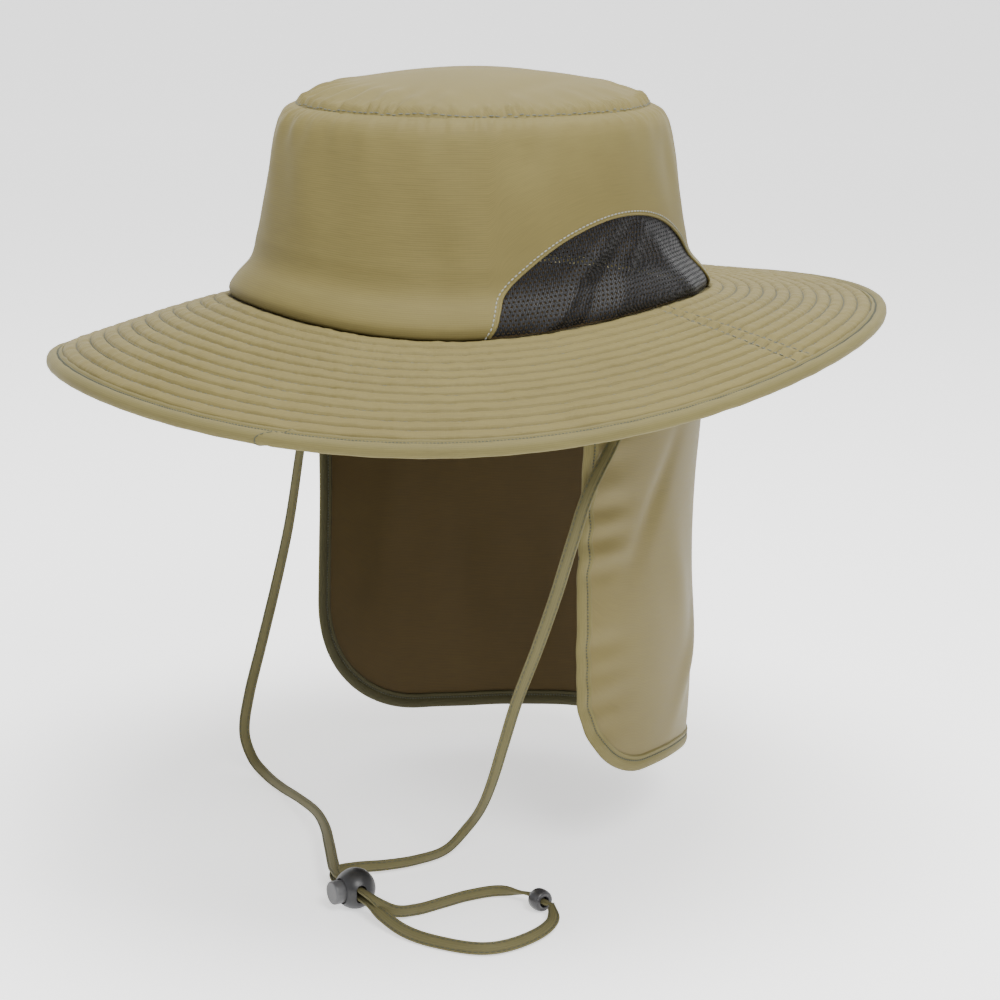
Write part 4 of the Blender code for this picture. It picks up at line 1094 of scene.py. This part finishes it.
# Cord lock: a hollow plastic ball with a slot for the two runs of the strap, and a sprung button that
# sticks out of it. Both are injection moulded, with a fine satin grain.
BUTTON_RADIUS = 0.0046
BUTTON_FRONT = -0.01032
BUTTON_BACK = -0.0056
SLOT_HALF_WIDTH = 0.0021
BORE_FLOOR = 0.0035
SLOT_HALF_HEIGHT = 0.0036
LOCK_FRAME = Matrix.Translation(lock_place) @ Matrix.Rotation(math.radians(LOCK_TURN), 4, "Z")


def plastic(name, colour, roughness, grain):
    made = plain(name, colour, roughness)
    tree = made.node_tree
    shader = tree.nodes["Principled BSDF"]
    space = node(tree, "ShaderNodeTexCoord").outputs["Object"]
    fine = node(tree, "ShaderNodeTexNoise", {"Vector": space, "Scale": 2600, "Detail": 2}).outputs["Fac"]
    scuffs = node(tree, "ShaderNodeTexNoise", {"Vector": space, "Scale": 260, "Detail": 4}).outputs["Fac"]
    bright = tuple(min(1, c * 1.5 + 0.01) for c in colour)
    tone = node(tree, "ShaderNodeMix", {0: scuffs, 6: (*colour, 1), 7: (*bright, 1)}, data_type="RGBA").outputs[2]
    tree.links.new(tone, shader.inputs["Base Color"])
    rough = maths(tree, "ADD", maths(tree, "MULTIPLY", scuffs, 0.22), roughness - 0.11)
    tree.links.new(rough, shader.inputs["Roughness"])
    relief = node(tree, "ShaderNodeBump", {"Height": fine, "Distance": grain, "Strength": 0.6}).outputs[0]
    tree.links.new(relief, shader.inputs["Normal"])
    return made


def turned(name, outline, steps, matrix, finish):
    """A lathe piece: a closed outline of (radius, along) turned about Z, then placed."""
    angles = np.linspace(0, 2 * math.pi, steps, endpoint=False)
    outline = np.array(outline)
    rings = np.stack(
        [
            np.cos(angles)[:, None] * outline[None, :, 0],
            np.sin(angles)[:, None] * outline[None, :, 0],
            np.tile(outline[None, :, 1], (steps, 1)),
        ],
        -1,
    )
    half = (len(outline) + 1) // 2
    if len(outline) % 2:
        rings = np.concatenate([rings, rings[:, -1:]], axis=1)
    made = wall(name, rings[:, :half], rings[:, :half - 1:-1], True, finish)
    made.data.transform(matrix)
    made.data.set_sharp_from_angle(angle=math.radians(50))
    return made


ball_outline = [(0.0, -LOCK_RADIUS)]
for step in range(1, 32):
    at = math.pi * step / 32
    mould = 0.00006 * bump(step - 16, 0.8)
    ball_outline.append((math.sin(at) * (LOCK_RADIUS + mould), -math.cos(at) * LOCK_RADIUS))
ball_outline.append((0.0, LOCK_RADIUS))
lay = Matrix.Rotation(math.pi / 2, 4, "X")
lock_grain = plastic("lock_grain", (0.012, 0.012, 0.013), 0.40, 0.00003)
ball = turned("lock_ball", ball_outline, 64, lay, lock_grain)
cutters = []
slot_points = []
for sign in (1, -1):
    for step in range(13):
        at = math.pi * step / 12
        height = sign * (SLOT_HALF_HEIGHT - SLOT_HALF_WIDTH + SLOT_HALF_WIDTH * math.sin(at))
        slot_points.append((-0.02, -CHANNEL_SHIFT + sign * SLOT_HALF_WIDTH * math.cos(at), height))
work = bmesh.new()
face = work.faces.new([work.verts.new(point) for point in slot_points])
pushed = bmesh.ops.extrude_face_region(work, geom=[face])["geom"]
bmesh.ops.translate(work, verts=[v for v in pushed if isinstance(v, bmesh.types.BMVert)], vec=(0.04, 0, 0))
slot_mesh = bpy.data.meshes.new("slot_cutter")
work.to_mesh(slot_mesh)
work.free()
cutters.append(closed_object("slot_cutter", slot_mesh, None))
bore = [(0.0, BORE_FLOOR), (BUTTON_RADIUS + 0.0004, BORE_FLOOR), (BUTTON_RADIUS + 0.0004, 0.02), (0.0, 0.02)]
cutters.append(turned("bore_cutter", bore, 48, lay, None))
for cutter in cutters:
    opening = ball.modifiers.new(cutter.name, "BOOLEAN")
    opening.object = cutter
    opening.operation = "DIFFERENCE"
    opening.solver = "EXACT"
rim = ball.modifiers.new("rim", "BEVEL")
rim.width = 0.00035
rim.segments = 2
rim.angle_limit = math.radians(50)
ready = ball.evaluated_get(bpy.context.evaluated_depsgraph_get())
ball_mesh = bpy.data.meshes.new_from_object(ready)
bpy.data.objects.remove(ball, do_unlink=True)
for cutter in cutters:
    bpy.data.objects.remove(cutter, do_unlink=True)
ball_mesh.transform(LOCK_FRAME)
ball_mesh.name = "lock_ball"
ball_mesh.set_sharp_from_angle(angle=math.radians(50))
ball = bpy.data.objects.new("lock_ball", ball_mesh)
bpy.context.scene.collection.objects.link(ball)
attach(ball, "hat")
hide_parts("cord_lock_ball")
button_outline = [
    (0.0, -BUTTON_FRONT - 0.0001), (0.0030, -BUTTON_FRONT - 0.00005), (0.0040, -BUTTON_FRONT),
    (0.00440, -BUTTON_FRONT - 0.00012), (0.00456, -BUTTON_FRONT - 0.0004), (0.0046, -BUTTON_FRONT - 0.0008),
    (0.0046, -BUTTON_FRONT - 0.0030), (0.0045, -BUTTON_FRONT - 0.0032), (0.0045, -BUTTON_BACK),
    (0.0, -BUTTON_BACK),
]
button_grain = plastic("button_grain", (0.060, 0.060, 0.062), 0.42, 0.00002)
button = turned("lock_button_cap", button_outline, 64, LOCK_FRAME @ lay, button_grain)
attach(button, "lock_button")
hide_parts("cord_lock_button")

# Bead: a small glossy plastic barrel that keeps the loop of the strap together.
BEAD_RADIUS = 0.0044
BEAD_HOLE = 0.0020
bead_outline = [(BEAD_HOLE, -BEAD_LENGTH / 2 + 0.0003), (BEAD_HOLE + 0.0003, -BEAD_LENGTH / 2)]
for step in range(13):
    at = math.pi * step / 12
    bead_outline.append(
        (BEAD_RADIUS - 0.0013 + 0.0013 * math.sin(at) ** 0.7, -math.cos(at) * (BEAD_LENGTH / 2))
    )
bead_outline += [(BEAD_HOLE + 0.0003, BEAD_LENGTH / 2), (BEAD_HOLE, BEAD_LENGTH / 2 - 0.0003)]
bead_frame = Matrix.Translation(bead_place) @ Matrix.Rotation(math.radians(BEAD_TURN), 4, "Z")
bead_frame = bead_frame @ Matrix.Rotation(math.pi / 2, 4, "Y")
bead_gloss = plastic("bead_gloss", (0.026, 0.025, 0.027), 0.24, 0.00001)
bead = turned("strap_bead", bead_outline, 48, bead_frame, bead_gloss)
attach(bead, "hat")
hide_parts("cord_bead")
